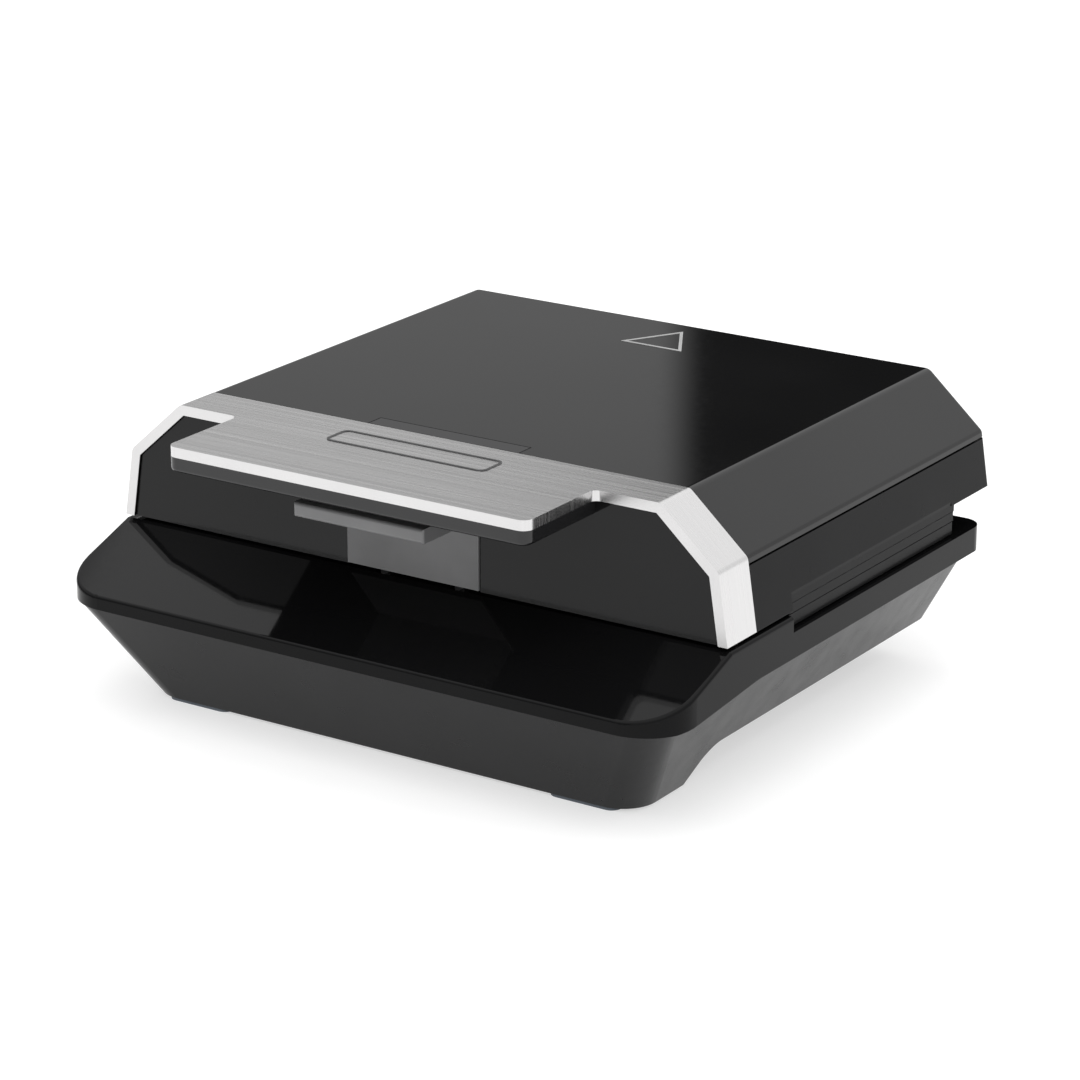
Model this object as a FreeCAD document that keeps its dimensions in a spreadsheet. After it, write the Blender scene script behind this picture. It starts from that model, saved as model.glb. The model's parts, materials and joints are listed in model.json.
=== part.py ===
import FreeCAD, Part
import math
import os
import Sketcher

# A two-slice waffle maker, closed. X runs to the right, Y from the front to the back, Z up, in mm.
# The drawing zero is on the floor, at the middle of the lid, in the plane of the lid's front edge.
# Every finished piece is then moved forward by frame_shift, so that the zero of the whole object
# is the middle of the floor under it.

SIZES = {
    # whole object
    "frame_shift": 75.75,
    "gap": 0.3,
    "hairline": 0.1,
    "past": 10.0,
    "far_past": 20.0,
    "bite": 1.0,
    "overlap": 0.5,
    "part_gap": 0.2,
    # lid outline, seen from the front
    "lid_low": 60.0,
    "lid_top": 106.5,
    "lid_half": 129.0,
    "shoulder_half": 125.0,
    "shoulder_up": 86.0,
    "flat_half": 102.0,
    "lid_back": 192.5,
    "seam_up": 83.0,
    "seam_gap": 0.8,
    "lid_wall": 2.5,
    "fold_in": 0.38,
    "shoulder_in": 0.93,
    "shoulder_down": 0.51,
    "fold_round": 4.0,
    "shoulder_round": 2.5,
    "back_round": 2.4,
    # steel trim and handle
    "steel_sheet": 1.2,
    "trim_depth": 19.3,
    "trim_edge": 3.8,
    "trim_fold_round": 3.0,
    "handle_half": 75.7,
    "handle_reach": 41.0,
    "handle_corner": 4.0,
    "handle_inner_corner": 3.0,
    "grip_low": 97.2,
    "handle_root": 0.6,
    "grip_back": 0.9,
    "grip_round": 1.5,
    "key_play": 0.3,
    # front panel
    "panel_front": 1.0,
    "panel_thick": 2.3,
    "panel_inset": 4.2,
    "notch_half": 28.4,
    "notch_top": 94.6,
    "lug_out": 1.0,
    "lug_thick": 3.0,
    "lug_back": 3.5,
    "lug_up": 4.0,
    "lug_root_up": 5.0,
    # lower side of the lid
    "recess_front": 44.0,
    "recess_back": 164.5,
    "recess_top": 65.0,
    "skirt_low": 53.5,
    "skirt_half": 127.3,
    "skirt_thick": 2.0,
    "skirt_step": 0.3,
    "skirt_mid": 58.0,
    "skirt_upper": 62.0,
    "skirt_bend": 65.4,
    "skirt_fold": 66.6,
    "bevel": 0.6,
    "skirt_root": 68.0,
    "lid_floor": 2.0,
    "floor_lead": 8.0,
    "tongue_down": 4.0,
    "tongue_up": 1.6,
    "tongue_thick": 1.6,
    "tongue_lead": 3.0,
    "hinge_window_side": 3.5,
    "hinge_window_front": 14.5,
    "lid_shelf": 2.0,
    # latch
    "latch_half": 28.1,
    "latch_front": 0.3,
    "latch_plate": 2.1,
    "latch_low": 60.5,
    "latch_high": 93.3,
    "lip_half": 27.5,
    "lip_low": 86.7,
    "lip_high": 92.0,
    "lip_reach": 32.0,
    "pivot_back": 9.0,
    "pivot_up": 92.0,
    "pivot_radius": 1.5,
    "pivot_play": 0.05,
    "arm_near": 14.0,
    "arm_far": 18.0,
    "hook_front": 6.2,
    "hook_thick": 2.6,
    "nose_reach": 3.0,
    "nose_low": 51.4,
    "nose_high": 54.7,
    "nose_ramp": 2.2,
    "hook_top": 66.0,
    "arm_crook_down": 8.0,
    "arm_heel_down": 3.0,
    "arm_heel_back": 3.4,
    "arm_heel_up": 0.6,
    "arm_crown": 1.8,
    "plate_key": 0.4,
    "lip_round": 1.2,
    "pin_ends": 0.5,
    "spring_turns": 7.0,
    "spring_pitch": 1.3,
    "spring_wire": 0.45,
    "spring_coil": 2.3,
    # waffle plates
    "plate_half": 112.0,
    "plate_front": 16.0,
    "plate_back": 160.0,
    "plate_corner": 8.0,
    "block_half": 105.5,
    "block_inset": 6.5,
    "lower_rim_low": 55.4,
    "lower_rim_top": 58.4,
    "upper_rim_low": 58.9,
    "upper_rim_top": 61.9,
    "block_depth": 10.0,
    "block_corner": 4.0,
    "cavity_depth": 10.4,
    "cavity_inner": 5.0,
    "cavity_outer": 102.0,
    "cavity_front": 25.0,
    "cavity_back": 151.0,
    "cavity_corner": 6.0,
    "knob_base": 13.6,
    "knob_rise": 8.45,
    "knob_taper": 17.0,
    "knob_columns": 5,
    "knob_rows": 6,
    # base deck
    "deck_top": 58.5,
    "deck_half": 130.0,
    "deck_front": 41.0,
    "deck_back": 186.0,
    "deck_corner": 20.0,
    "deck_back_corner": 8.0,
    "ramp_top": 1.4,
    "ramp_slope": 0.354,
    "side_top": 52.6,
    "side_rim_half": 116.0,
    "band_low": 43.0,
    "band_front_low": 38.5,
    "band_rise_end": 20.0,
    "deck_wall": 2.5,
    "deck_skin": 2.8,
    "deck_rim_round": 1.5,
    "band_flat": 11.0,
    "recess_gap": 1.0,
    "hook_play": 0.6,
    "slot_side": 1.0,
    "slot_depth": 8.0,
    "seat_play": 0.5,
    "well_rim": 3.0,
    "well_ledge": 2.5,
    "rim_shelf": 2.6,
    "tray_lug_half": 6.0,
    "tray_lug_side": 4.0,
    "catch_sheet": 0.6,
    "catch_gap": 5.2,
    "catch_side": 4.0,
    "well_half": 107.5,
    # base shell
    "shell_low": 1.2,
    "shell_low_half": 105.2,
    "shell_high_half": 128.4,
    "shell_low_front": 19.5,
    "shell_high_front": 42.2,
    "shell_low_back": 176.6,
    "shell_high_back": 176.6,
    "shell_corner": 13.0,
    "shell_back_corner": 8.0,
    "shell_wall": 2.8,
    "side_low": 15.7,
    "leg_back": 12.0,
    "leg_lean": 3.0,
    "leg_knee": 5.5,
    "leg_end": 24.0,
    "leg_bulge": 5.27,
    "leg_bulge_down": 1.48,
    "cover_lead": 1.6,
    "cover_thick": 2.0,
    "foot_front_near": 69.0,
    "foot_front_far": 97.0,
    "foot_front_front": -19.0,
    "foot_front_length": 13.0,
    "foot_rear_near": 74.0,
    "foot_rear_far": 88.0,
    "foot_rear_front": 148.0,
    "foot_rear_length": 15.0,
    "foot_rear_pad": 2.2,
    "foot_round": 4.0,
    # hinge
    "hinge_back": 182.0,
    "hinge_up": 64.0,
    "pin_radius": 3.0,
    "pin_play": 0.05,
    "knuckle_radius": 6.5,
    "bracket_inner": 84.0,
    "bracket_outer": 108.0,
    "ear_thick": 4.0,
    "bracket_sheet": 1.8,
    "bracket_front": 13.0,
    "bracket_back": 4.5,
    "bracket_screw_back": 9.5,
    "hinge_screw_near": 92.0,
    "hinge_screw_far": 100.0,
    "pin_overhang": 1.5,
    "arm_play": 0.5,
    "arm_sheet": 3.0,
    "arm_front": 22.5,
    "arm_screw_back": 18.5,
    "arm_bend": 11.0,
    "arm_heel": 4.0,
    "arm_throat_back": 7.0,
    "arm_throat_down": 1.5,
    # inside
    "element_radius": 3.2,
    "pan_sheet": 0.8,
    "pan_half": 106.5,
    "pan_corner": 6.0,
    "pan_front": 21.0,
    "pan_back": 155.0,
    "pan_tab_width": 12.0,
    "pan_tab_reach": 119.0,
    "pan_screw_half": 114.5,
    "tab_front": 51.0,
    "tab_rear": 136.0,
    "loop_half": 84.0,
    "loop_front": 42.0,
    "loop_back": 134.0,
    "loop_lane": 26.0,
    "loop_end": 16.0,
    "loop_bend": 20.0,
    "clip_sheet": 1.0,
    "clip_foot": 4.0,
    "clip_front": 84.0,
    "clip_back": 92.0,
    "post_half": 55.0,
    "post_front": 60.0,
    "post_rear": 116.0,
    "post_radius": 3.5,
    "screw_radius": 1.3,
    "screw_play": 0.1,
    "head_radius": 2.6,
    "head_height": 1.4,
    "tower_half": 70.0,
    "tower_front": 2.0,
    "tower_rear": 162.0,
    "tower_radius": 4.0,
    "tower_top": 50.5,
    "pilot_top": 40.0,
    "tray_pilot_top": 48.5,
    "tray_screw_tip": 48.0,
    "bracket_screw_tip": 47.0,
    "front_screw_tip": 16.0,
    "rear_screw_tip": 24.0,
    "sunk_head": 0.7,
    "plate_screw": 8.0,
    "lid_screw": 4.0,
    "lower_pan_low": 33.0,
    "lower_pan_top": 42.8,
    "upper_pan_low": 72.2,
    "upper_pan_top": 84.0,
    "lead_radius": 1.3,
    "lead_bend": 5.0,
    "lead_turn_side": 26.0,
    "lead_drop_back": 132.0,
    "lead_end_back": 143.0,
    "can_radius": 8.0,
    "can_height": 6.0,
    "can_back": 88.0,
    "can_tab_near": 7.0,
    "can_tab_far": 14.0,
    "can_tab_half": 3.0,
    "can_tab_low": 5.1,
    "can_tab_sheet": 0.8,
    "fuse_half": 10.0,
    "fuse_back": 120.0,
    "fuse_radius": 2.2,
    "fuse_drop": 4.0,
    "terminal_side": 42.0,
    "terminal_half": 12.0,
    "terminal_front": 140.0,
    "terminal_back": 152.0,
    "terminal_height": 12.0,
    "terminal_pitch": 8.0,
    "terminal_well": 2.2,
    "terminal_floor": 5.0,
    # top of the lid
    "window_half": 32.0,
    "window_back": 27.0,
    "window_depth": 1.1,
    "window_play": 0.4,
    "lamp_side": 8.0,
    "lamp_back": 24.5,
    "lamp_radius": 2.4,
    "lamp_height": 3.9,
    "lamp_drop": 6.6,
    "board_half": 16.0,
    "board_front": 16.0,
    "board_back": 31.0,
    "board_drop": 8.4,
    "board_thick": 1.6,
    "badge_half": 34.0,
    "badge_front": -5.0,
    "badge_back": 8.6,
    "badge_line": 1.0,
    "badge_high": 0.25,
    "badge_round": 3.0,
    "badge_inner_round": 2.2,
    "mark_half": 13.5,
    "mark_front": 158.5,
    "mark_back": 182.0,
    "mark_high": 0.2,
    "mark_inner_half": 11.4,
    "mark_inner_front": 159.7,
    "mark_inner_back": 179.6,
    # cord outlet
    "gland_side": 45.0,
    "gland_up": 28.0,
    "gland_bore": 3.6,
    "gland_neck": 7.5,
    "gland_flange": 9.5,
    "gland_inside": 8.0,
    "gland_root": 1.0,
    "gland_plate": 2.0,
    "gland_keeper": 2.5,
    "gland_nose": 6.6,
    "gland_taper": 1.6,
}

FLOAT_NOISE = 1e-6
# how near two places must be, in mm, to count as the same edge or face
NEAR = 0.01
HALF = 0.5
# a point on a circle of radius 1 that stands off square to both axes by whole tenths
KNUCKLE_ACROSS = 0.6
KNUCKLE_UP = 0.8
# how far the middle of a quarter arc stands in from the corner that it rounds, for a radius of 1
ARC_SAG = 1 - math.sqrt(0.5)
ACROSS_PLANE = {"XY_Plane": ("x", "y"), "XZ_Plane": ("x", "z"), "YZ_Plane": ("y", "z")}

doc = FreeCAD.newDocument("waffle_maker")
sheet = doc.addObject("Spreadsheet::Sheet", "Sizes")
for row, (alias, number) in enumerate(SIZES.items(), start=1):
    sheet.set(f"A{row}", alias)
    sheet.set(f"B{row}", str(number))
    sheet.setAlias(f"B{row}", alias)
doc.recompute()


class Size:
    """A length that knows its number and the sheet formula it comes from."""

    def __init__(self, number, formula):
        self.number = number
        self.formula = formula

    def __neg__(self):
        return Size(-self.number, f"-({self.formula})")

    def __add__(self, other):
        other = as_size(other)
        return Size(self.number + other.number, f"({self.formula} + {other.formula})")

    def __sub__(self, other):
        other = as_size(other)
        return Size(self.number - other.number, f"({self.formula} - {other.formula})")

    def __mul__(self, other):
        other = as_size(other)
        return Size(self.number * other.number, f"({self.formula} * {other.formula})")

    def __truediv__(self, other):
        other = as_size(other)
        return Size(self.number / other.number, f"({self.formula} / {other.formula})")

    def __radd__(self, other):
        return as_size(other) + self

    def __rsub__(self, other):
        return as_size(other) - self

    def __rmul__(self, other):
        return as_size(other) * self


def as_size(value):
    if isinstance(value, Size):
        return value
    return Size(float(value), f"({float(value)!r})")


class Sheet:
    """Gives each cell of the sheet as a Size: dim.lid_top and so on."""

    def __getattr__(self, alias):
        return Size(float(sheet.get(alias)), f"Sizes.{alias}")


dim = Sheet()
pieces = {}


# ---------------------------------------------------------------- drawing helpers

def bind(item, prop, value):
    """Ties one property of a feature to the sheet."""
    item.setExpression(prop, as_size(value).formula)


def new_body(name):
    return doc.addObject("PartDesign::Body", name)


def add_sketch(body, plane, outline, level):
    """A closed outline on one of the body's own planes, every corner tied to the sheet.

    An outline is a list of (across, up) corners. A corner written as (across, up, mid_across, mid_up)
    ends an arc that starts at the corner before it and passes through the middle point.
    """
    sketch = body.newObject("Sketcher::SketchObject", body.Name + "_outline")
    origin_plane = next(item for item in body.Origin.OriginFeatures if item.Role == plane)
    sketch.AttachmentSupport = [(origin_plane, "")]
    sketch.MapMode = "FlatFace"
    if as_size(level).number != 0:
        bind(sketch, ".AttachmentOffset.Base.z", -level if plane == "XZ_Plane" else level)
    corners = [[as_size(value) for value in corner] for corner in outline]
    count = len(corners)
    ends = []
    for index, corner in enumerate(corners):
        after = corners[(index + 1) % count]
        start = FreeCAD.Vector(corner[0].number, corner[1].number, 0)
        end = FreeCAD.Vector(after[0].number, after[1].number, 0)
        first, last = 1, 2
        if len(after) == 2:
            sketch.addGeometry(Part.LineSegment(start, end))
        else:
            middle = FreeCAD.Vector(after[2].number, after[3].number, 0)
            if (middle - start).cross(end - middle).z > 0:
                sketch.addGeometry(Part.Arc(start, middle, end))
            else:
                sketch.addGeometry(Part.Arc(end, middle, start))
                first, last = 2, 1
        ends.append((first, last))
    for index in range(count):
        following = (index + 1) % count
        joint = Sketcher.Constraint("Coincident", index, ends[index][1], following, ends[following][0])
        sketch.addConstraint(joint)
    for index, corner in enumerate(corners):
        fix_point(sketch, index, ends[index][0], corner[0], corner[1])
        after = corners[(index + 1) % count]
        if len(after) == 4:
            middle = FreeCAD.Vector(after[2].number, after[3].number, 0)
            spot = sketch.addGeometry(Part.Point(middle), True)
            fix_point(sketch, spot, 1, after[2], after[3])
            sketch.addConstraint(Sketcher.Constraint("PointOnObject", spot, 1, index))
    return sketch


def fix_point(sketch, geometry, end, across, up):
    """Holds one point of a sketch at a place that comes from the sheet."""
    for kind, place in (("DistanceX", across), ("DistanceY", up)):
        number = sketch.addConstraint(Sketcher.Constraint(kind, -1, 1, geometry, end, place.number))
        sketch.setExpression(f"Constraints[{number}]", place.formula)


def extrude(body, plane, outline, low, high, cut=False, taper=0):
    """Adds or cuts the outline between two levels measured along the plane's own axis."""
    low = as_size(low)
    high = as_size(high)
    sketch = add_sketch(body, plane, outline, low)
    kind = "PartDesign::Pocket" if cut else "PartDesign::Pad"
    feature = body.newObject(kind, body.Name + ("_cut" if cut else "_block"))
    feature.Profile = sketch
    bind(feature, "Length", high - low)
    towards_plus = plane != "XZ_Plane"
    feature.Reversed = towards_plus if cut else not towards_plus
    if taper:
        bind(feature, "TaperAngle", taper)
    doc.recompute()
    return feature


def loft(body, levels):
    """Joins flat outlines at given heights with straight sides."""
    sketches = [add_sketch(body, "XY_Plane", outline, level) for level, outline in levels]
    feature = body.newObject("PartDesign::AdditiveLoft", body.Name + "_loft")
    feature.Profile = sketches[0]
    feature.Sections = sketches[1:]
    feature.Ruled = True
    doc.recompute()
    return feature


def soften(body, wanted, radius):
    """Rounds the edges of the body that the test function picks."""
    base = body.Tip
    names = [f"Edge{number}" for number, edge in enumerate(base.Shape.Edges, start=1) if wanted(edge)]
    if not names:
        raise RuntimeError(f"no edge to round on {body.Name}")
    feature = body.newObject("PartDesign::Fillet", body.Name + "_edges")
    feature.Base = (base, names)
    bind(feature, "Radius", radius)
    doc.recompute()
    return feature


def along(plane, spots):
    """Test for straight edges at right angles to the plane that stand over one of the spots."""
    across, up = ACROSS_PLANE[plane]
    numbers = [(as_size(spot[0]).number, as_size(spot[1]).number) for spot in spots]

    def wanted(edge):
        if len(edge.Vertexes) != 2:
            return False
        points = [vertex.Point for vertex in edge.Vertexes]
        for spot in numbers:
            misses = [math.hypot(getattr(point, across) - spot[0], getattr(point, up) - spot[1])
                      for point in points]
            if max(misses) < NEAR:
                return True
        return False

    return wanted


def rectangle(left, right, front, back):
    return [(left, front), (right, front), (right, back), (left, back)]


def rounded_rectangle(left, right, front, back, radius, back_radius=None):
    """A rectangle whose four corners are arcs, the back two of another radius if one is given."""
    rear = radius if back_radius is None else back_radius
    bulge = radius * ARC_SAG
    rear_bulge = rear * ARC_SAG
    return [
        (left + radius, front, left + bulge, front + bulge), (right - radius, front),
        (right, front + radius, right - bulge, front + bulge), (right, back - rear),
        (right - rear, back, right - rear_bulge, back - rear_bulge), (left + rear, back),
        (left, back - rear, left + rear_bulge, back - rear_bulge), (left, front + radius),
    ]


def front_rounded(left, right, front, back, radius):
    """A rectangle whose two front corners are arcs."""
    bulge = radius * ARC_SAG
    return [
        (left + radius, front, left + bulge, front + bulge), (right - radius, front),
        (right, front + radius, right - bulge, front + bulge), (right, back), (left, back),
        (left, front + radius),
    ]


def on_side(sign, near, far):
    """Left and right ends of a stretch that lies on one side of the middle."""
    return (near, far) if sign > 0 else (-far, -near)


def block(name, left, right, front, back, low, high):
    """A plain box between six planes."""
    item = doc.addObject("Part::Box", name)
    bind(item, "Length", right - left)
    bind(item, "Width", back - front)
    bind(item, "Height", high - low)
    bind(item, "Placement.Base.x", left)
    bind(item, "Placement.Base.y", front)
    bind(item, "Placement.Base.z", low)
    return item


TURN_TO = {
    "x": FreeCAD.Rotation(FreeCAD.Vector(0, 1, 0), 90),
    "y": FreeCAD.Rotation(FreeCAD.Vector(1, 0, 0), -90),
    "z": FreeCAD.Rotation(),
}


def cylinder(name, axis, centre, radius, length, radius_end=None):
    """A round bar or cone that starts at the centre point and runs along +axis."""
    item = doc.addObject("Part::Cone" if radius_end is not None else "Part::Cylinder", name)
    if radius_end is None:
        bind(item, "Radius", radius)
    else:
        bind(item, "Radius1", radius)
        bind(item, "Radius2", radius_end)
    bind(item, "Height", length)
    item.Placement = FreeCAD.Placement(FreeCAD.Vector(), TURN_TO[axis])
    for letter, value in zip("xyz", centre):
        bind(item, f"Placement.Base.{letter}", value)
    return item


def cut(name, base, *tools):
    item = base
    for number, tool in enumerate(tools):
        step = doc.addObject("Part::Cut", f"{name}_{number}")
        step.Base = item
        step.Tool = tool
        item = step
    doc.recompute()
    return item


def fuse(name, *shapes):
    item = doc.addObject("Part::MultiFuse", name)
    item.Shapes = list(shapes)
    item.Refine = True
    doc.recompute()
    return item


def common(name, first, second):
    item = doc.addObject("Part::MultiCommon", name)
    item.Shapes = [first, second]
    doc.recompute()
    return item


def finish(label, item):
    """Names a finished piece and moves it into the object's frame."""
    if item.TypeId in ("Part::Box", "Part::Cylinder", "Part::Cone"):
        holder = doc.addObject("Part::Compound", label)
        holder.Links = [item]
        item = holder
    item.Label = label
    bind(item, "Placement.Base.y", -dim.frame_shift)
    pieces[label] = item
    return item


def group(label, items):
    """Several identical separate solids in one piece."""
    holder = doc.addObject("Part::Compound", label)
    holder.Links = items
    return finish(label, holder)


def screws(label, spots, seat, tip, head_height=dim.head_height):
    """A set of pan-head screws with upright shanks: heads on the seat level, ends at the tip level."""
    items = []
    for number, (across, back) in enumerate(spots):
        points_down = seat.number > tip.number
        low, high = (tip, seat) if points_down else (seat, tip)
        shank = cylinder(f"{label}_shank_{number}", "z", (across, back, low), dim.screw_radius,
                         high - low)
        head_low = seat if points_down else seat - head_height
        head = cylinder(f"{label}_head_{number}", "z", (across, back, head_low), dim.head_radius,
                        head_height)
        items.append(fuse(f"{label}_{number}", shank, head))
    group(label, items)


def drill(name, item, spots, low, high):
    """Screw holes through a piece, a little wider than the shanks."""
    tools = [cylinder(f"{name}_hole_{number}", "z", (across, back, low),
                      dim.screw_radius + dim.screw_play, high - low)
             for number, (across, back) in enumerate(spots)]
    return cut(name, item, *tools)


def four(half, front, back):
    """The four places at a distance either side of the middle, near the front and near the back."""
    return [(-half, front), (half, front), (-half, back), (half, back)]


# ---------------------------------------------------------------- outlines shared by several pieces

def arch_points(inset, low):
    """Right-hand half of the lid outline, set in by a distance, from the given height to the top."""
    lean = (dim.lid_half - dim.shoulder_half) / (dim.shoulder_up - dim.lid_low)
    return [
        (dim.lid_half - (low - dim.lid_low) * lean - inset, low),
        (dim.shoulder_half - dim.shoulder_in * inset, dim.shoulder_up - dim.shoulder_down * inset),
        (dim.flat_half - dim.fold_in * inset, dim.lid_top - inset),
    ]


def mirrored(points):
    return [(-across, up) for across, up in reversed(points)]


def arch_region(inset, low):
    """The whole area under the lid outline."""
    half = arch_points(as_size(inset), as_size(low))
    return half + mirrored(half)


def arch_hoop(outer_inset, inner_inset, low):
    """A hoop between two insets of the lid outline, open at the bottom."""
    outer = arch_region(outer_inset, low)
    inner = arch_region(inner_inset, low)
    return outer + list(reversed(inner))


def underside(lift, lead):
    """Front-to-back line of the base's lower edge: down to the front legs, up along the sides.

    lift raises the line and lead brings its rise forward, which gives the inner face of a wall.
    """
    knee = dim.leg_back + dim.leg_lean - lead
    end = dim.leg_end - lead
    return [
        (-dim.deck_front - dim.far_past, dim.shell_low + lift),
        (dim.leg_back - lead, dim.shell_low + lift),
        (knee, dim.side_low - dim.leg_knee + lift),
        (end, dim.side_low + lift, end - dim.leg_bulge, dim.side_low - dim.leg_bulge_down + lift),
        (dim.deck_back + dim.far_past, dim.side_low + lift),
    ]


def ramp_up(back, drop=0.0):
    """Height of the sloping ramp at a distance back from the lid's front edge."""
    return dim.deck_top + dim.ramp_slope * (back - dim.ramp_top) - drop


POST_SPOTS = four(dim.post_half, dim.post_front, dim.post_rear)
TAB_SPOTS = four(dim.pan_screw_half, dim.tab_front, dim.tab_rear)
TOWER_SPOTS = four(dim.tower_half, dim.tower_front, dim.tower_rear)
HINGE_SCREWS = (-dim.hinge_screw_far, -dim.hinge_screw_near, dim.hinge_screw_near, dim.hinge_screw_far)
BRACKET_SPOTS = [(across, dim.hinge_back - dim.bracket_screw_back) for across in HINGE_SCREWS]
ARM_SPOTS = [(across, dim.hinge_back - dim.arm_screw_back) for across in HINGE_SCREWS]


# ---------------------------------------------------------------- base

def make_base_shell():
    """Lower housing: a flared tub with rounded corners whose sides stop above the floor."""
    def tub(name, inset):
        body = new_body(name)
        corners = (dim.shell_corner - inset, dim.shell_back_corner - inset)
        low = rounded_rectangle(inset - dim.shell_low_half, dim.shell_low_half - inset,
                                inset - dim.shell_low_front, dim.shell_low_back - inset, *corners)
        high = rounded_rectangle(inset - dim.shell_high_half, dim.shell_high_half - inset,
                                 inset - dim.shell_high_front, dim.shell_high_back - inset, *corners)
        loft(body, [(dim.shell_low, low), (dim.band_low, high)])
        return body

    wide = dim.deck_half + dim.far_past
    below = new_body("below_underside")
    line = underside(as_size(0.0), as_size(0.0))
    floor = [(dim.deck_back + dim.far_past, -dim.past), (-dim.deck_front - dim.far_past, -dim.past)]
    extrude(below, "YZ_Plane", line + floor, -wide, wide)

    above = new_body("above_band_line")
    wedge = [
        (-dim.deck_front - dim.far_past, dim.band_front_low - dim.gap),
        (-dim.deck_front + dim.band_flat, dim.band_front_low - dim.gap),
        (dim.band_rise_end, dim.band_low - dim.gap),
        (dim.deck_back + dim.far_past, dim.band_low - dim.gap),
        (dim.deck_back + dim.far_past, dim.deck_top + dim.far_past),
        (-dim.deck_front - dim.far_past, dim.deck_top + dim.far_past),
    ]
    extrude(above, "YZ_Plane", wedge, -wide, wide)

    gland_hole = cylinder("gland_hole", "y", (dim.gland_side, dim.shell_low_back - dim.past, dim.gland_up),
                          dim.gland_neck + dim.gap, dim.far_past)
    outer = tub("shell_outside", as_size(0.0))
    inner = tub("shell_inside", dim.shell_wall)
    shell = cut("base_shell_body", outer, inner, below, above, gland_hole)
    finish("base_shell", shell)

    plug = tub("cover_outline", dim.shell_wall + dim.hairline)
    slab = new_body("cover_slab")
    top_line = underside(dim.cover_thick, dim.cover_lead)
    extrude(slab, "YZ_Plane", line + reverse_line(top_line), -dim.deck_half, dim.deck_half)
    legs = []
    for side, sign in (("left", -1), ("right", 1)):
        left, right = on_side(sign, dim.foot_rear_near, dim.foot_rear_far)
        legs.append(block(f"rear_leg_{side}", left, right, dim.foot_rear_front,
                          dim.foot_rear_front + dim.foot_rear_length, dim.foot_rear_pad,
                          dim.side_low + dim.cover_thick * HALF))
    cover = fuse("bottom_cover_body", common("cover_plate", plug, slab), *legs)
    cover = drill("bottom_cover_drilled", cover, TOWER_SPOTS, as_size(0.0), dim.side_low + dim.past)
    finish("bottom_cover", cover)
    screws("cover_screws_front", TOWER_SPOTS[:2], dim.shell_low, dim.front_screw_tip, dim.sunk_head)
    screws("cover_screws_rear", TOWER_SPOTS[2:], dim.side_low, dim.rear_screw_tip)


def reverse_line(line):
    """Walks an outline backwards, keeping each arc on the same two corners."""
    backwards = []
    for index in range(len(line) - 1, -1, -1):
        corner = line[index][:2]
        after = line[index + 1] if index + 1 < len(line) else corner
        backwards.append(tuple(corner) + tuple(after[2:]))
    return backwards


def make_feet():
    """Four rubber pads: wide ones under the front legs, small ones under the cover's rear legs."""
    places = {
        "front": (dim.foot_front_near, dim.foot_front_far, dim.foot_front_front, dim.foot_front_length,
                  dim.shell_low),
        "rear": (dim.foot_rear_near, dim.foot_rear_far, dim.foot_rear_front, dim.foot_rear_length,
                 dim.foot_rear_pad),
    }
    for end, (near, far, front, length, height) in places.items():
        for side, sign in (("left", -1), ("right", 1)):
            left, right = on_side(sign, near, far)
            body = new_body(f"foot_{end}_{side}")
            outline = rectangle(left, right, front, front + length)
            extrude(body, "XY_Plane", outline, 0.0, height)
            soften(body, along("XY_Plane", outline), dim.foot_round)
            finish(f"foot_{end}_{side}", body)


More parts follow.
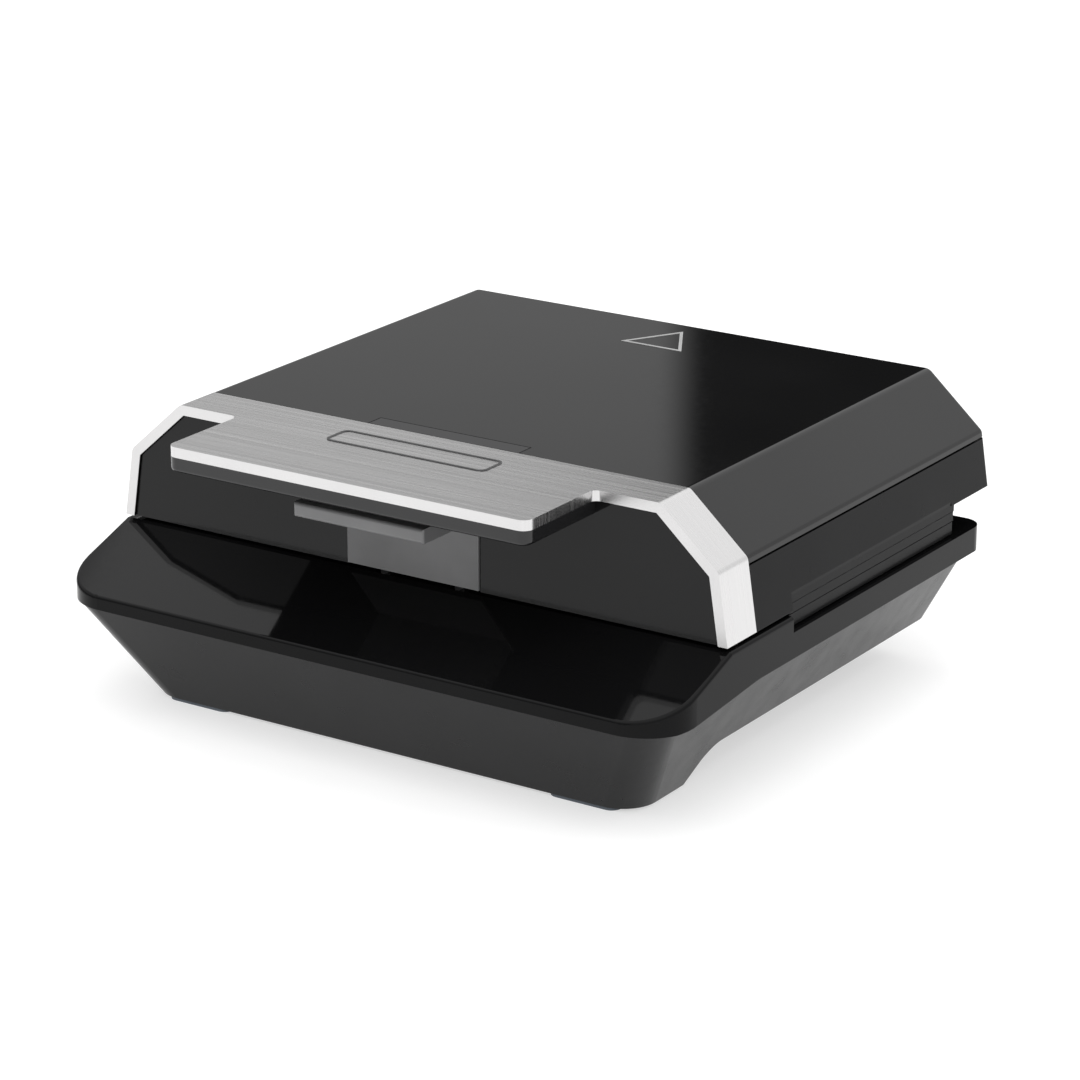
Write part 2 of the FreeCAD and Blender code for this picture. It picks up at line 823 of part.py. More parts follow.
def make_base_deck():
    """Upper housing: the sloping ramp, the outer band and the well that holds the lower plate."""
    body = new_body("base_deck")
    plan = rectangle(-dim.deck_half, dim.deck_half, -dim.deck_front, dim.deck_back)
    extrude(body, "XY_Plane", plan, dim.band_front_low, dim.deck_top)
    soften(body, along("XY_Plane", plan[:2]), dim.deck_corner)
    soften(body, along("XY_Plane", plan[2:]), dim.deck_back_corner)
    over = dim.deck_half + dim.past
    beyond = dim.deck_back + dim.past
    before = -dim.deck_front - dim.past
    overhead = dim.deck_top + dim.far_past
    ramp = [(before, ramp_up(before)), (dim.ramp_top, dim.deck_top), (dim.ramp_top, overhead),
            (before, overhead)]
    extrude(body, "YZ_Plane", ramp, -over, over, cut=True)
    side_step = dim.recess_front - dim.recess_gap
    for left, right in ((-over, -dim.side_rim_half), (dim.side_rim_half, over)):
        step = rectangle(left, right, side_step, beyond)
        extrude(body, "XY_Plane", step, dim.side_top, overhead, cut=True)
    back_step = rectangle(-over, over, dim.recess_back, beyond)
    extrude(body, "XY_Plane", back_step, dim.side_top, overhead, cut=True)
    band_line = [(before, dim.band_front_low - dim.past), (before, dim.band_front_low),
                 (-dim.deck_front + dim.band_flat, dim.band_front_low), (dim.band_rise_end, dim.band_low),
                 (beyond, dim.band_low), (beyond, dim.band_front_low - dim.past)]
    extrude(body, "YZ_Plane", band_line, -over, over, cut=True)

    def outer_rim(edge):
        """Edges of the band's outer wall where it meets the surfaces on top."""
        point = edge.CenterOfMass
        half = dim.deck_half.number
        front = -dim.deck_front.number
        corner = dim.deck_corner.number
        inside_x = half - corner
        inside_y = front + corner
        if len(edge.Vertexes) != 2:
            return False
        heights = [vertex.Point.z for vertex in edge.Vertexes]
        if min(heights) < ramp_up(-dim.deck_front).number - dim.bite.number:
            return False
        on_wall = []
        middle = edge.valueAt((edge.FirstParameter + edge.LastParameter) / 2)
        for spot in [vertex.Point for vertex in edge.Vertexes] + [middle]:
            if abs(spot.x) > inside_x and spot.y < inside_y:
                miss = math.hypot(abs(spot.x) - inside_x, spot.y - inside_y) - corner
            else:
                miss = min(abs(abs(spot.x) - half), abs(spot.y - front))
            on_wall.append(abs(miss) < dim.hairline.number)
        rise = abs(heights[0] - heights[1])
        upright = rise > dim.bite.number and edge.Length < rise + NEAR
        return all(on_wall) and not upright and point.y < side_step.number - dim.bite.number

    soften(body, outer_rim, dim.deck_rim_round)

    slot_back = dim.hook_front + dim.hook_thick + dim.hook_play
    for sign in (-1, 1):
        left, right = on_side(sign, dim.arm_near - dim.slot_side, dim.arm_far + dim.slot_side)
        slot = rectangle(left, right, dim.ramp_top + dim.hairline, slot_back)
        extrude(body, "XY_Plane", slot, dim.deck_top - dim.slot_depth, overhead, cut=True)
    seat = dim.plate_half + dim.seat_play
    seat_outline = rounded_rectangle(-seat, seat, dim.plate_front - dim.seat_play,
                                     dim.plate_back + dim.seat_play, dim.plate_corner)
    extrude(body, "XY_Plane", seat_outline, dim.lower_rim_low - dim.hairline, overhead, cut=True)

    towers = []
    for number, (across, back) in enumerate(TOWER_SPOTS):
        low, high = (dim.side_low, dim.tower_top)
        if number < 2:
            low, high = (dim.shell_low, dim.deck_top - dim.deck_skin + dim.bite)
        foot_up = low + dim.cover_thick + dim.hairline
        towers.append(cylinder(f"deck_tower_{number}", "z", (across, back, foot_up), dim.tower_radius,
                               high - foot_up))
    deck = fuse("deck_with_towers", cut("deck_hollowed", body, make_deck_hollow()), *towers)
    deck = drill("deck_drilled", deck, TOWER_SPOTS, as_size(0.0), dim.pilot_top)
    deck = drill("deck_tab_holes", deck, TAB_SPOTS, dim.pilot_top, dim.tray_pilot_top)
    deck = drill("deck_bracket_holes", deck, BRACKET_SPOTS, dim.side_top - dim.past,
                 dim.side_top + dim.past)
    finish("base_deck", deck)
    screws("hinge_screws", BRACKET_SPOTS, dim.side_top + dim.hairline + dim.bracket_sheet,
           dim.bracket_screw_tip)
    screws("reflector_screws", TAB_SPOTS, dim.lower_pan_top - dim.pan_sheet, dim.tray_screw_tip)


def make_deck_hollow():
    """The space under the deck's skin, less the walls of the well and the lugs for the tray screws."""
    body = new_body("deck_hollow")
    wall = dim.deck_wall
    room = dim.deck_half - wall
    low = dim.band_front_low - dim.past
    roof = dim.deck_top - dim.deck_skin
    overhead = dim.deck_top + dim.far_past
    plan = rounded_rectangle(-room, room, wall - dim.deck_front, dim.deck_back - wall,
                             dim.deck_corner - wall, dim.deck_back_corner - wall)
    extrude(body, "XY_Plane", plan, low, roof)
    before = -dim.deck_front - dim.past
    beyond = dim.deck_back + dim.past
    over = dim.deck_half + dim.past
    above_ramp = [(before, ramp_up(before, dim.deck_skin)), (dim.ramp_top, roof), (dim.ramp_top, overhead),
                  (before, overhead)]
    extrude(body, "YZ_Plane", above_ramp, -over, over, cut=True)
    side_step = dim.recess_front - dim.recess_gap - wall
    for left, right in ((-over, -dim.side_rim_half + wall), (dim.side_rim_half - wall, over)):
        step = rectangle(left, right, side_step, beyond)
        extrude(body, "XY_Plane", step, dim.side_top - wall, overhead, cut=True)
    rear = rectangle(-over, over, dim.recess_back - wall, beyond)
    extrude(body, "XY_Plane", rear, dim.side_top - wall, overhead, cut=True)

    well_wall = dim.well_half + wall
    ring = new_body("well_ring")
    outer = rectangle(-well_wall, well_wall, dim.plate_front, dim.plate_back)
    extrude(ring, "XY_Plane", outer, dim.band_low, overhead)
    rim_half = dim.plate_half + dim.well_rim
    rim_front = dim.plate_front - dim.well_rim
    rim = rectangle(-rim_half, rim_half, rim_front, dim.plate_back + dim.well_rim)
    extrude(ring, "XY_Plane", rim, dim.lower_rim_low - dim.rim_shelf, overhead)
    lugs = []
    for number, (across, back) in enumerate(TAB_SPOTS):
        left, right = on_side(across.number, dim.pan_screw_half - dim.tray_lug_side,
                              dim.side_rim_half + dim.bite)
        lugs.append(block(f"tray_lug_{number}", left, right, back - dim.tray_lug_half,
                          back + dim.tray_lug_half, dim.band_low, dim.side_top))
    well = new_body("well")
    opening = rectangle(-dim.well_half, dim.well_half, dim.plate_front + dim.well_ledge,
                        dim.plate_back - dim.well_ledge)
    extrude(well, "XY_Plane", opening, low, overhead)
    return fuse("deck_space", cut("deck_space_cut", body, ring, *lugs), well)


def make_latch_catch():
    """Steel strip under the deck edge with a lip at each slot for the latch hooks to hold."""
    body = new_body("latch_catch")
    slot_back = dim.hook_front + dim.hook_thick + dim.hook_play
    top = dim.deck_top - dim.deck_skin - dim.hairline
    far = dim.arm_far + dim.catch_side
    strip = rectangle(-far, far, slot_back - dim.part_gap, dim.plate_front - dim.catch_gap)
    extrude(body, "XY_Plane", strip, top - dim.catch_sheet, top)
    finish("latch_catch", body)


def make_plate(label, rim_low, rim_top, up):
    """Cast waffle plate: a rim, a block and two pockets filled with tapered knobs.

    up is +1 for the lower plate, whose pockets open upwards, and -1 for the upper plate.
    """
    body = new_body(label)
    rim = rectangle(-dim.plate_half, dim.plate_half, dim.plate_front, dim.plate_back)
    extrude(body, "XY_Plane", rim, rim_low, rim_top)
    soften(body, along("XY_Plane", rim), dim.plate_corner)
    back_low, back_top = (rim_low - dim.block_depth, rim_low)
    if up < 0:
        back_low, back_top = (rim_top, rim_top + dim.block_depth)
    front_edge = dim.plate_front + dim.block_inset
    back_edge = dim.plate_back - dim.block_inset
    casting = rectangle(-dim.block_half, dim.block_half, front_edge, back_edge)
    extrude(body, "XY_Plane", casting, back_low, back_top)
    soften(body, along("XY_Plane", casting), dim.block_corner)
    floor = rim_top - dim.cavity_depth if up > 0 else rim_low + dim.cavity_depth
    for left, right in ((-dim.cavity_outer, -dim.cavity_inner), (dim.cavity_inner, dim.cavity_outer)):
        pocket = rectangle(left, right, dim.cavity_front, dim.cavity_back)
        low, high = (floor, rim_top) if up > 0 else (rim_low, floor)
        extrude(body, "XY_Plane", pocket, low, high, cut=True)
        soften(body, along("XY_Plane", pocket), dim.cavity_corner)
    make_knobs(body, floor, up)
    pan_inner = dim.lower_pan_low + dim.pan_sheet + dim.hairline
    if up < 0:
        pan_inner = dim.upper_pan_top - dim.pan_sheet - dim.hairline
    post_low, post_top = (pan_inner, back_low + dim.overlap)
    if up < 0:
        post_low, post_top = (back_top - dim.overlap, pan_inner)
    posts = [cylinder(f"{label}_post_{number}", "z", (across, back, post_low), dim.post_radius,
                      post_top - post_low)
             for number, (across, back) in enumerate(POST_SPOTS)]
    plate = fuse(label + "_cast", body, *posts)
    hole_low, hole_top = (post_low - dim.bite, post_low + dim.plate_screw)
    if up < 0:
        hole_low, hole_top = (post_top - dim.plate_screw, post_top + dim.bite)
    finish(label, drill(label + "_drilled", plate, POST_SPOTS, hole_low, hole_top))


def make_knobs(body, floor, up):
    """One tapered knob in the left pocket, repeated along rows and columns in both pockets."""
    pitch_across = (dim.cavity_outer - dim.cavity_inner) / dim.knob_columns
    pitch_back = (dim.cavity_back - dim.cavity_front) / dim.knob_rows
    centre_across = -dim.cavity_outer + pitch_across * HALF
    centre_back = dim.cavity_front + pitch_back * HALF
    half = dim.knob_base * HALF
    outline = rectangle(centre_across - half, centre_across + half, centre_back - half, centre_back + half)
    sketch = add_sketch(body, "XY_Plane", outline, floor)
    knob = body.newObject("PartDesign::Pad", body.Name + "_knob")
    knob.Profile = sketch
    bind(knob, "Length", dim.knob_rise)
    bind(knob, "TaperAngle", -dim.knob_taper)
    knob.Reversed = up < 0
    doc.recompute()
    columns = body.newObject("PartDesign::LinearPattern", body.Name + "_columns")
    columns.Direction = (sketch, ["H_Axis"])
    bind(columns, "Length", pitch_across * (dim.knob_columns - 1))
    bind(columns, "Occurrences", dim.knob_columns)
    rows = body.newObject("PartDesign::LinearPattern", body.Name + "_rows")
    rows.Direction = (sketch, ["V_Axis"])
    bind(rows, "Length", pitch_back * (dim.knob_rows - 1))
    bind(rows, "Occurrences", dim.knob_rows)
    sides = body.newObject("PartDesign::LinearPattern", body.Name + "_sides")
    sides.Direction = (sketch, ["H_Axis"])
    bind(sides, "Length", dim.cavity_outer + dim.cavity_inner)
    sides.Occurrences = 2
    many = body.newObject("PartDesign::MultiTransform", body.Name + "_grid")
    many.Originals = [knob]
    many.Transformations = [columns, rows, sides]
    body.Tip = many
    doc.recompute()


def make_pan(label, low, top, open_up):
    """Thin reflector tray behind a heating element, with four screw tabs at its open edge."""
    body = new_body(label)
    thin = dim.pan_sheet
    outer = rounded_rectangle(-dim.pan_half, dim.pan_half, dim.pan_front, dim.pan_back, dim.pan_corner)
    extrude(body, "XY_Plane", outer, low, top)
    inner = rounded_rectangle(thin - dim.pan_half, dim.pan_half - thin, dim.pan_front + thin,
                              dim.pan_back - thin, dim.pan_corner - thin)
    hollow_low, hollow_top = (low + thin, top) if open_up else (low, top - thin)
    extrude(body, "XY_Plane", inner, hollow_low, hollow_top, cut=True)
    tab_low = top - thin if open_up else low
    for across, back in TAB_SPOTS:
        left, right = on_side(across.number, dim.pan_half - thin * HALF, dim.pan_tab_reach)
        tab = rectangle(left, right, back - dim.pan_tab_width * HALF, back + dim.pan_tab_width * HALF)
        extrude(body, "XY_Plane", tab, tab_low, tab_low + thin)
    pan = drill(label + "_tab_holes", body, TAB_SPOTS, tab_low - dim.bite, tab_low + thin + dim.bite)
    floor_low = low if open_up else top - thin
    finish(label, drill(label + "_drilled", pan, POST_SPOTS, floor_low - dim.bite,
                        floor_low + thin + dim.bite))
    if open_up:
        screws("lower_plate_screws", POST_SPOTS, low, low + dim.plate_screw)
    else:
        screws("upper_plate_screws", POST_SPOTS, top, top - dim.plate_screw)
        screws("lid_screws", TAB_SPOTS, low + thin, low - dim.lid_screw)


def tube(label, points, radius, bend):
    """A round bar along straight runs joined by arcs of one bend radius."""
    bend = as_size(bend).number
    vectors = [FreeCAD.Vector(*[as_size(value).number for value in point]) for point in points]
    edges = []
    start = vectors[0]
    for index in range(1, len(vectors) - 1):
        corner = vectors[index]
        inward = (vectors[index - 1] - corner).normalize()
        outward = (vectors[index + 1] - corner).normalize()
        turn = math.pi - inward.getAngle(outward)
        setback = bend * math.tan(turn / 2)
        first = corner + inward * setback
        last = corner + outward * setback
        bisector = (inward + outward).normalize()
        reach = bend / math.cos(turn / 2) - bend
        if first.distanceToPoint(start) > FLOAT_NOISE:
            edges.append(Part.LineSegment(start, first).toShape())
        edges.append(Part.Arc(first, corner + bisector * reach, last).toShape())
        start = last
    edges.append(Part.LineSegment(start, vectors[-1]).toShape())
    path = Part.Wire(edges)
    heading = (vectors[1] - vectors[0]).normalize()
    ring = Part.Wire([Part.makeCircle(as_size(radius).number, vectors[0], heading)])
    item = doc.addObject("Part::Feature", label)
    item.Shape = path.makePipeShell([ring], True, True)
    return item


def make_element(label, level, side):
    """Bent tubular heater in three loops whose cold ends stop near the back, and the clips over it."""
    right, lane = dim.loop_half, dim.loop_lane
    front, back = dim.loop_front, dim.loop_back
    end = back + dim.loop_end
    points = [
        (right, end, level), (right, front, level), (lane, front, level), (lane, back, level),
        (-lane, back, level), (-lane, front, level), (-right, front, level), (-right, end, level),
    ]
    finish(label, tube(label, points, dim.element_radius, dim.loop_bend))
    clips = []
    for number, centre in enumerate((-right, -lane, lane, right)):
        reach = dim.element_radius + dim.clip_foot
        clip = new_body(f"{label}_clip_{number}")
        inner = dim.element_radius + dim.hairline
        outer = inner + dim.clip_sheet
        foot = level + inner * side
        crown = level - outer * side
        ledge = foot - dim.clip_sheet * side
        outline = [
            (centre - reach, foot), (centre - inner, foot), (centre - inner, level - inner * side),
            (centre + inner, level - inner * side), (centre + inner, foot), (centre + reach, foot),
            (centre + reach, ledge), (centre + outer, ledge), (centre + outer, crown),
            (centre - outer, crown), (centre - outer, ledge), (centre - reach, ledge),
        ]
        extrude(clip, "XZ_Plane", outline, dim.clip_front, dim.clip_back)
        clips.append(clip)
    group(label.replace("heating_element", "element_clips"), clips)


def make_hinges():
    """At each side: a two-eared bracket on the base, an arm on the lid and the pin through both."""
    axis_back = dim.hinge_back
    axis_up = dim.hinge_up
    foot_low = dim.side_top + dim.hairline
    foot_top = foot_low + dim.bracket_sheet
    foot_front = axis_back - dim.bracket_front
    foot_back = axis_back - dim.bracket_back
    knuckle = dim.knuckle_radius
    across = knuckle * KNUCKLE_ACROSS
    upward = knuckle * KNUCKLE_UP
    for side, sign in (("left", -1), ("right", 1)):
        bracket = new_body(f"hinge_bracket_{side}")
        low, high = on_side(sign, dim.bracket_inner, dim.bracket_outer)
        foot = rectangle(foot_front, foot_back, foot_low, foot_top)
        extrude(bracket, "YZ_Plane", foot, low, high)
        ear = [
            (foot_front, foot_low), (foot_back, foot_low), (axis_back - across, axis_up - upward),
            (axis_back - across, axis_up + upward, axis_back + knuckle, axis_up),
        ]
        for near, far in ((dim.bracket_inner, dim.bracket_inner + dim.ear_thick),
                          (dim.bracket_outer - dim.ear_thick, dim.bracket_outer)):
            ear_low, ear_high = on_side(sign, near, far)
            extrude(bracket, "YZ_Plane", ear, ear_low, ear_high)
        bore = cylinder(f"bracket_bore_{side}", "x", (low - dim.bite, axis_back, axis_up),
                        dim.pin_radius + dim.pin_play, high - low + dim.bite * 2)
        spots = BRACKET_SPOTS[:2] if sign < 0 else BRACKET_SPOTS[2:]
        bored = cut(f"bracket_{side}", bracket, bore)
        finish(f"hinge_bracket_{side}",
               drill(f"bracket_{side}_drilled", bored, spots, foot_low - dim.bite, foot_top + dim.bite))

        arm = new_body(f"lid_hinge_arm_{side}")
        inner = dim.bracket_inner + dim.ear_thick + dim.arm_play
        outer = dim.bracket_outer - dim.ear_thick - dim.arm_play
        arm_low, arm_high = on_side(sign, inner, outer)
        seat = dim.recess_top + dim.lid_floor + dim.hairline
        seat_top = seat + dim.arm_sheet
        outline = [
            (axis_back - across, axis_up - upward),
            (axis_back + across, axis_up + upward, axis_back + upward, axis_up - across),
            (axis_back - dim.arm_heel, seat_top), (axis_back - dim.arm_front, seat_top),
            (axis_back - dim.arm_front, seat), (axis_back - dim.arm_bend, seat),
            (axis_back - dim.arm_throat_back, axis_up - dim.arm_throat_down),
        ]
        extrude(arm, "YZ_Plane", outline, arm_low, arm_high)
        hole = cylinder(f"arm_bore_{side}", "x", (arm_low - dim.bite, axis_back, axis_up),
                        dim.pin_radius + dim.pin_play, arm_high - arm_low + dim.bite * 2)
        arm_spots = ARM_SPOTS[:2] if sign < 0 else ARM_SPOTS[2:]
        bored_arm = cut(f"arm_{side}", arm, hole)
        finish(f"lid_hinge_arm_{side}",
               drill(f"arm_{side}_drilled", bored_arm, arm_spots, seat - dim.bite, seat_top + dim.bite))

        pin = cylinder(f"pin_{side}", "x", (low - dim.pin_overhang, axis_back, axis_up),
                       dim.pin_radius, high - low + dim.pin_overhang * 2)
        finish(f"hinge_pin_{side}", pin)


def make_cord_gland():
    """Moulded outlet where the supply cord leaves the back of the base."""
    back = dim.shell_high_back
    side, up = dim.gland_side, dim.gland_up
    start = back - dim.gland_inside
    plate = back + dim.hairline
    nose_start = plate + dim.gland_plate
    keeper = back - dim.shell_wall - dim.hairline - dim.gland_keeper
    neck = cylinder("gland_neck_bar", "y", (side, start, up), dim.gland_neck,
                    dim.gland_inside + dim.gland_root)
    flange = cylinder("gland_flange_bar", "y", (side, plate, up), dim.gland_flange, dim.gland_plate)
    inner = cylinder("gland_keeper_bar", "y", (side, keeper, up), dim.gland_flange, dim.gland_keeper)
    nose = cylinder("gland_nose_bar", "y", (side, nose_start, up), dim.gland_neck, dim.gland_nose,
                    dim.gland_neck - dim.gland_taper)
    bore = cylinder("gland_bore_bar", "y", (side, start - dim.bite, up), dim.gland_bore,
                    dim.far_past + dim.past)
    finish("cord_gland", cut("cord_gland_body", fuse("gland_parts", neck, flange, inner, nose), bore))


def make_base_electrics():
    """Thermostat under the plate, thermal fuse, terminal block and the lead between the last two."""
    plate_under = dim.lower_rim_low - dim.block_depth
    can_low = plate_under - dim.can_height - dim.hairline
    tab_low = plate_under - dim.can_tab_low
    can = cylinder("thermostat_can", "z", (0.0, dim.can_back, can_low), dim.can_radius, dim.can_height)
    tabs = []
    for side, sign in (("left", -1), ("right", 1)):
        left, right = on_side(sign, dim.can_tab_near, dim.can_tab_far)
        tabs.append(block(f"thermostat_tab_{side}", left, right, dim.can_back - dim.can_tab_half,
                          dim.can_back + dim.can_tab_half, tab_low, tab_low + dim.can_tab_sheet))
    finish("thermostat", fuse("thermostat_body", can, *tabs))

    fuse_up = dim.lower_pan_low - dim.fuse_drop
    finish("thermal_fuse", cylinder("fuse_can", "x", (-dim.fuse_half, dim.fuse_back, fuse_up),
                                    dim.fuse_radius, dim.fuse_half * 2))

    floor = dim.side_low + dim.cover_thick + dim.hairline
    side = dim.terminal_side
    middle = (dim.terminal_front + dim.terminal_back) * HALF
    terminal = block("terminal_box", side - dim.terminal_half, side + dim.terminal_half,
                     dim.terminal_front, dim.terminal_back, floor, floor + dim.terminal_height)
    wells = [cylinder(f"terminal_well_{number}", "z",
                      (side + dim.terminal_pitch * (number - 1), middle, floor + dim.terminal_floor),
                      dim.terminal_well, dim.terminal_height)
             for number in range(3)]
    finish("terminal_block", cut("terminal_body", terminal, *wells))

    lead = dim.lead_radius
    top = floor + dim.terminal_height + lead
    route = [
        (dim.fuse_half + dim.bite, dim.fuse_back, fuse_up), (dim.lead_turn_side, dim.fuse_back, fuse_up),
        (side, dim.lead_drop_back, top), (side, dim.lead_end_back, top),
    ]
    finish("fuse_lead", tube("fuse_lead", route, lead, dim.lead_bend))


# ---------------------------------------------------------------- lid

def make_steel_trim():
    """One folded steel sheet: a hoop round the lid's front edge that runs out into the handle plate."""
    body = new_body("steel_trim")
    thin = dim.steel_sheet
    extrude(body, "XZ_Plane", arch_hoop(0.0, thin, dim.lid_low), 0.0, dim.trim_depth)
    extrude(body, "XZ_Plane", arch_hoop(0.0, dim.trim_edge, dim.lid_low), 0.0, thin)
    plate_low = dim.lid_top - dim.trim_edge
    plate = front_rounded(-dim.handle_half, dim.handle_half, -dim.handle_reach,
                          dim.handle_root, dim.handle_corner)
    extrude(body, "XY_Plane", plate, plate_low, dim.lid_top)
    junction = [(-dim.handle_half, 0.0), (dim.handle_half, 0.0)]
    soften(body, along("XY_Plane", junction), dim.handle_inner_corner)
    tray = front_rounded(thin - dim.handle_half, dim.handle_half - thin, thin - dim.handle_reach,
                         -dim.part_gap, dim.handle_corner - thin)
    extrude(body, "XY_Plane", tray, plate_low - dim.bite, dim.lid_top - thin, cut=True)
    folds = arch_points(as_size(0.0), dim.lid_low)[1:]
    soften(body, along("XZ_Plane", folds + mirrored(folds)), dim.trim_fold_round)
    finish("steel_trim", body)


def make_handle_grip():
    """Plastic underside of the handle, keyed up into the folded plate."""
    body = new_body("handle_grip")
    thin = dim.steel_sheet
    plate_low = dim.lid_top - dim.trim_edge
    outline = front_rounded(-dim.handle_half, dim.handle_half, -dim.handle_reach,
                            dim.grip_back, dim.handle_corner)
    extrude(body, "XY_Plane", outline, dim.grip_low, plate_low - NEAR)
    key_half = dim.handle_half - thin - dim.key_play
    key = front_rounded(-key_half, key_half, thin + dim.key_play - dim.handle_reach, -dim.overlap,
                        dim.handle_corner - thin)
    extrude(body, "XY_Plane", key, plate_low - dim.hairline, dim.lid_top - thin - dim.hairline)

    def lower_front(edge):
        points = [vertex.Point for vertex in edge.Vertexes]
        at_bottom = all(abs(point.z - dim.grip_low.number) < NEAR for point in points)
        at_back = all(abs(point.y - dim.grip_back.number) < NEAR for point in points)
        return at_bottom and not at_back

    soften(body, lower_front, dim.grip_round)
    finish("handle_grip", body)


def make_lid_top_cover():
    """Flat top with two sloping shoulders; its front end slides under the steel trim."""
    body = new_body("lid_top_cover")
    low = dim.seam_up + dim.seam_gap
    start = dim.trim_depth + dim.part_gap
    extrude(body, "XZ_Plane", arch_hoop(0.0, dim.lid_wall, low), start, dim.lid_back)
    extrude(body, "XZ_Plane", arch_region(0.0, low), dim.lid_back - dim.lid_wall, dim.lid_back)
    spigot = dim.steel_sheet + dim.part_gap
    extrude(body, "XZ_Plane", arch_hoop(spigot, spigot + dim.lid_wall, low), spigot,
            start + dim.lid_wall)
    window_half = dim.window_half + dim.window_play
    window = rectangle(-window_half, window_half, start - dim.overlap, dim.window_back + dim.window_play)
    extrude(body, "XY_Plane", window, dim.lid_top - dim.window_depth - dim.hairline,
            dim.lid_top + dim.bite, cut=True)
    shoulder, fold = arch_points(as_size(0.0), low)[1:]
    soften(body, along("XZ_Plane", [fold] + mirrored([fold])), dim.fold_round)
    soften(body, along("XZ_Plane", [shoulder] + mirrored([shoulder])), dim.shoulder_round)

    def back_rim(edge):
        points = [vertex.Point for vertex in edge.Vertexes]
        on_back = all(abs(point.y - dim.lid_back.number) < NEAR for point in points)
        return on_back and max(point.z for point in points) > low.number + dim.hairline.number

    soften(body, back_rim, dim.back_round)
    finish("lid_top_cover", body)


def make_lid_side_frame():
    """Sides and back of the lid below the seam, with the stepped skirt along each side."""
    body = new_body("lid_side_frame")
    wall = dim.lid_wall
    lean = (dim.lid_half - dim.shoulder_half) / (dim.shoulder_up - dim.lid_low)

    def side_at(height, inset=0.0):
        return dim.lid_half - (height - dim.lid_low) * lean - inset

    top = dim.seam_up
    start = dim.trim_depth + dim.part_gap
    tuck = dim.recess_top
    floor_low, floor_top = tuck, tuck + dim.lid_floor
    back_plate = [(-side_at(tuck), tuck), (side_at(tuck), tuck), (side_at(top), top), (-side_at(top), top)]
    extrude(body, "XZ_Plane", back_plate, dim.lid_back - wall, dim.lid_back)

    def both_sides(outline, low, high):
        extrude(body, "XZ_Plane", outline, low, high)
        flipped = [tuple(-value if index % 2 == 0 else value for index, value in enumerate(corner))
                   for corner in outline]
        extrude(body, "XZ_Plane", flipped, low, high)

    def band(low, inset=0.0):
        return [(side_at(low, inset), low), (side_at(top, inset), top),
                (side_at(top, inset + wall), top), (side_at(low, inset + wall), low)]

    both_sides(band(tuck), dim.recess_back - wall, dim.lid_back)
    skirt = dim.skirt_half
    inner = skirt - dim.skirt_thick
    middle = skirt + dim.skirt_step
    upper = middle + dim.skirt_step
    curl = [
        (side_at(top), top), (side_at(dim.skirt_fold), dim.skirt_fold), (upper, dim.skirt_bend),
        (upper, dim.skirt_upper + dim.bevel), (middle, dim.skirt_upper),
        (middle, dim.skirt_mid + dim.bevel), (skirt, dim.skirt_mid), (skirt, dim.skirt_low),
        (inner, dim.skirt_low), (inner, tuck),
        (side_at(dim.skirt_root, wall), dim.skirt_root), (side_at(top, wall), top),
    ]
    both_sides(curl, dim.recess_front, dim.recess_back)
    both_sides(band(dim.lid_low), start, dim.recess_front + dim.part_gap)
    bulkhead = [(side_at(dim.lid_low), dim.lid_low), (side_at(floor_top), floor_top),
                (inner - dim.overlap, floor_top), (inner - dim.overlap, dim.lid_low)]
    both_sides(bulkhead, dim.recess_front - wall, dim.recess_front + dim.part_gap)
    spigot = dim.steel_sheet + dim.part_gap
    both_sides(band(dim.lid_low, spigot), spigot, start + wall)
    shelf_top = dim.upper_pan_low - dim.hairline
    shelf_low = shelf_top - dim.lid_shelf
    shelf_out = side_at(tuck, wall)
    shelf = [(shelf_out, shelf_low), (shelf_out, shelf_top), (dim.plate_half, shelf_top),
             (dim.plate_half, shelf_low)]
    both_sides(shelf, dim.recess_front, dim.recess_back)
    lip_top = top + dim.tongue_up
    root = top - dim.tongue_down
    inward = wall + dim.tongue_thick
    tongue = [(side_at(root, wall - dim.hairline), root), (side_at(top, wall + dim.hairline), top),
              (side_at(lip_top, wall + dim.part_gap), lip_top), (side_at(lip_top, inward), lip_top),
              (side_at(root, inward), root)]
    both_sides(tongue, start + dim.tongue_lead, dim.lid_back - wall - dim.overlap)
    floor_half = side_at(tuck, dim.bite)
    floor = rectangle(-floor_half, floor_half, dim.recess_back - dim.floor_lead, dim.lid_back - dim.bite)
    extrude(body, "XY_Plane", floor, floor_low, floor_top)
    for sign in (-1, 1):
        left, right = on_side(sign, dim.bracket_inner - dim.hinge_window_side,
                              dim.bracket_outer + dim.hinge_window_side)
        window = rectangle(left, right, dim.hinge_back - dim.hinge_window_front, dim.lid_back - wall)
        extrude(body, "XY_Plane", window, floor_low - dim.bite, floor_top + dim.bite, cut=True)

    def back_corner(edge):
        points = [vertex.Point for vertex in edge.Vertexes]
        on_back = all(abs(point.y - dim.lid_back.number) < NEAR for point in points)
        return on_back and abs(points[0].z - points[-1].z) > dim.tongue_down.number

    soften(body, back_corner, dim.back_round)
    frame = drill("lid_side_frame_drilled", body, TAB_SPOTS, shelf_low - dim.bite, shelf_top + dim.bite)
    frame = drill("lid_side_frame_floor", frame, ARM_SPOTS, floor_low - dim.bite, floor_top + dim.bite)
    finish("lid_side_frame", frame)
    screws("hinge_arm_screws", ARM_SPOTS, floor_top + dim.hairline + dim.arm_sheet,
           floor_low - dim.bite)


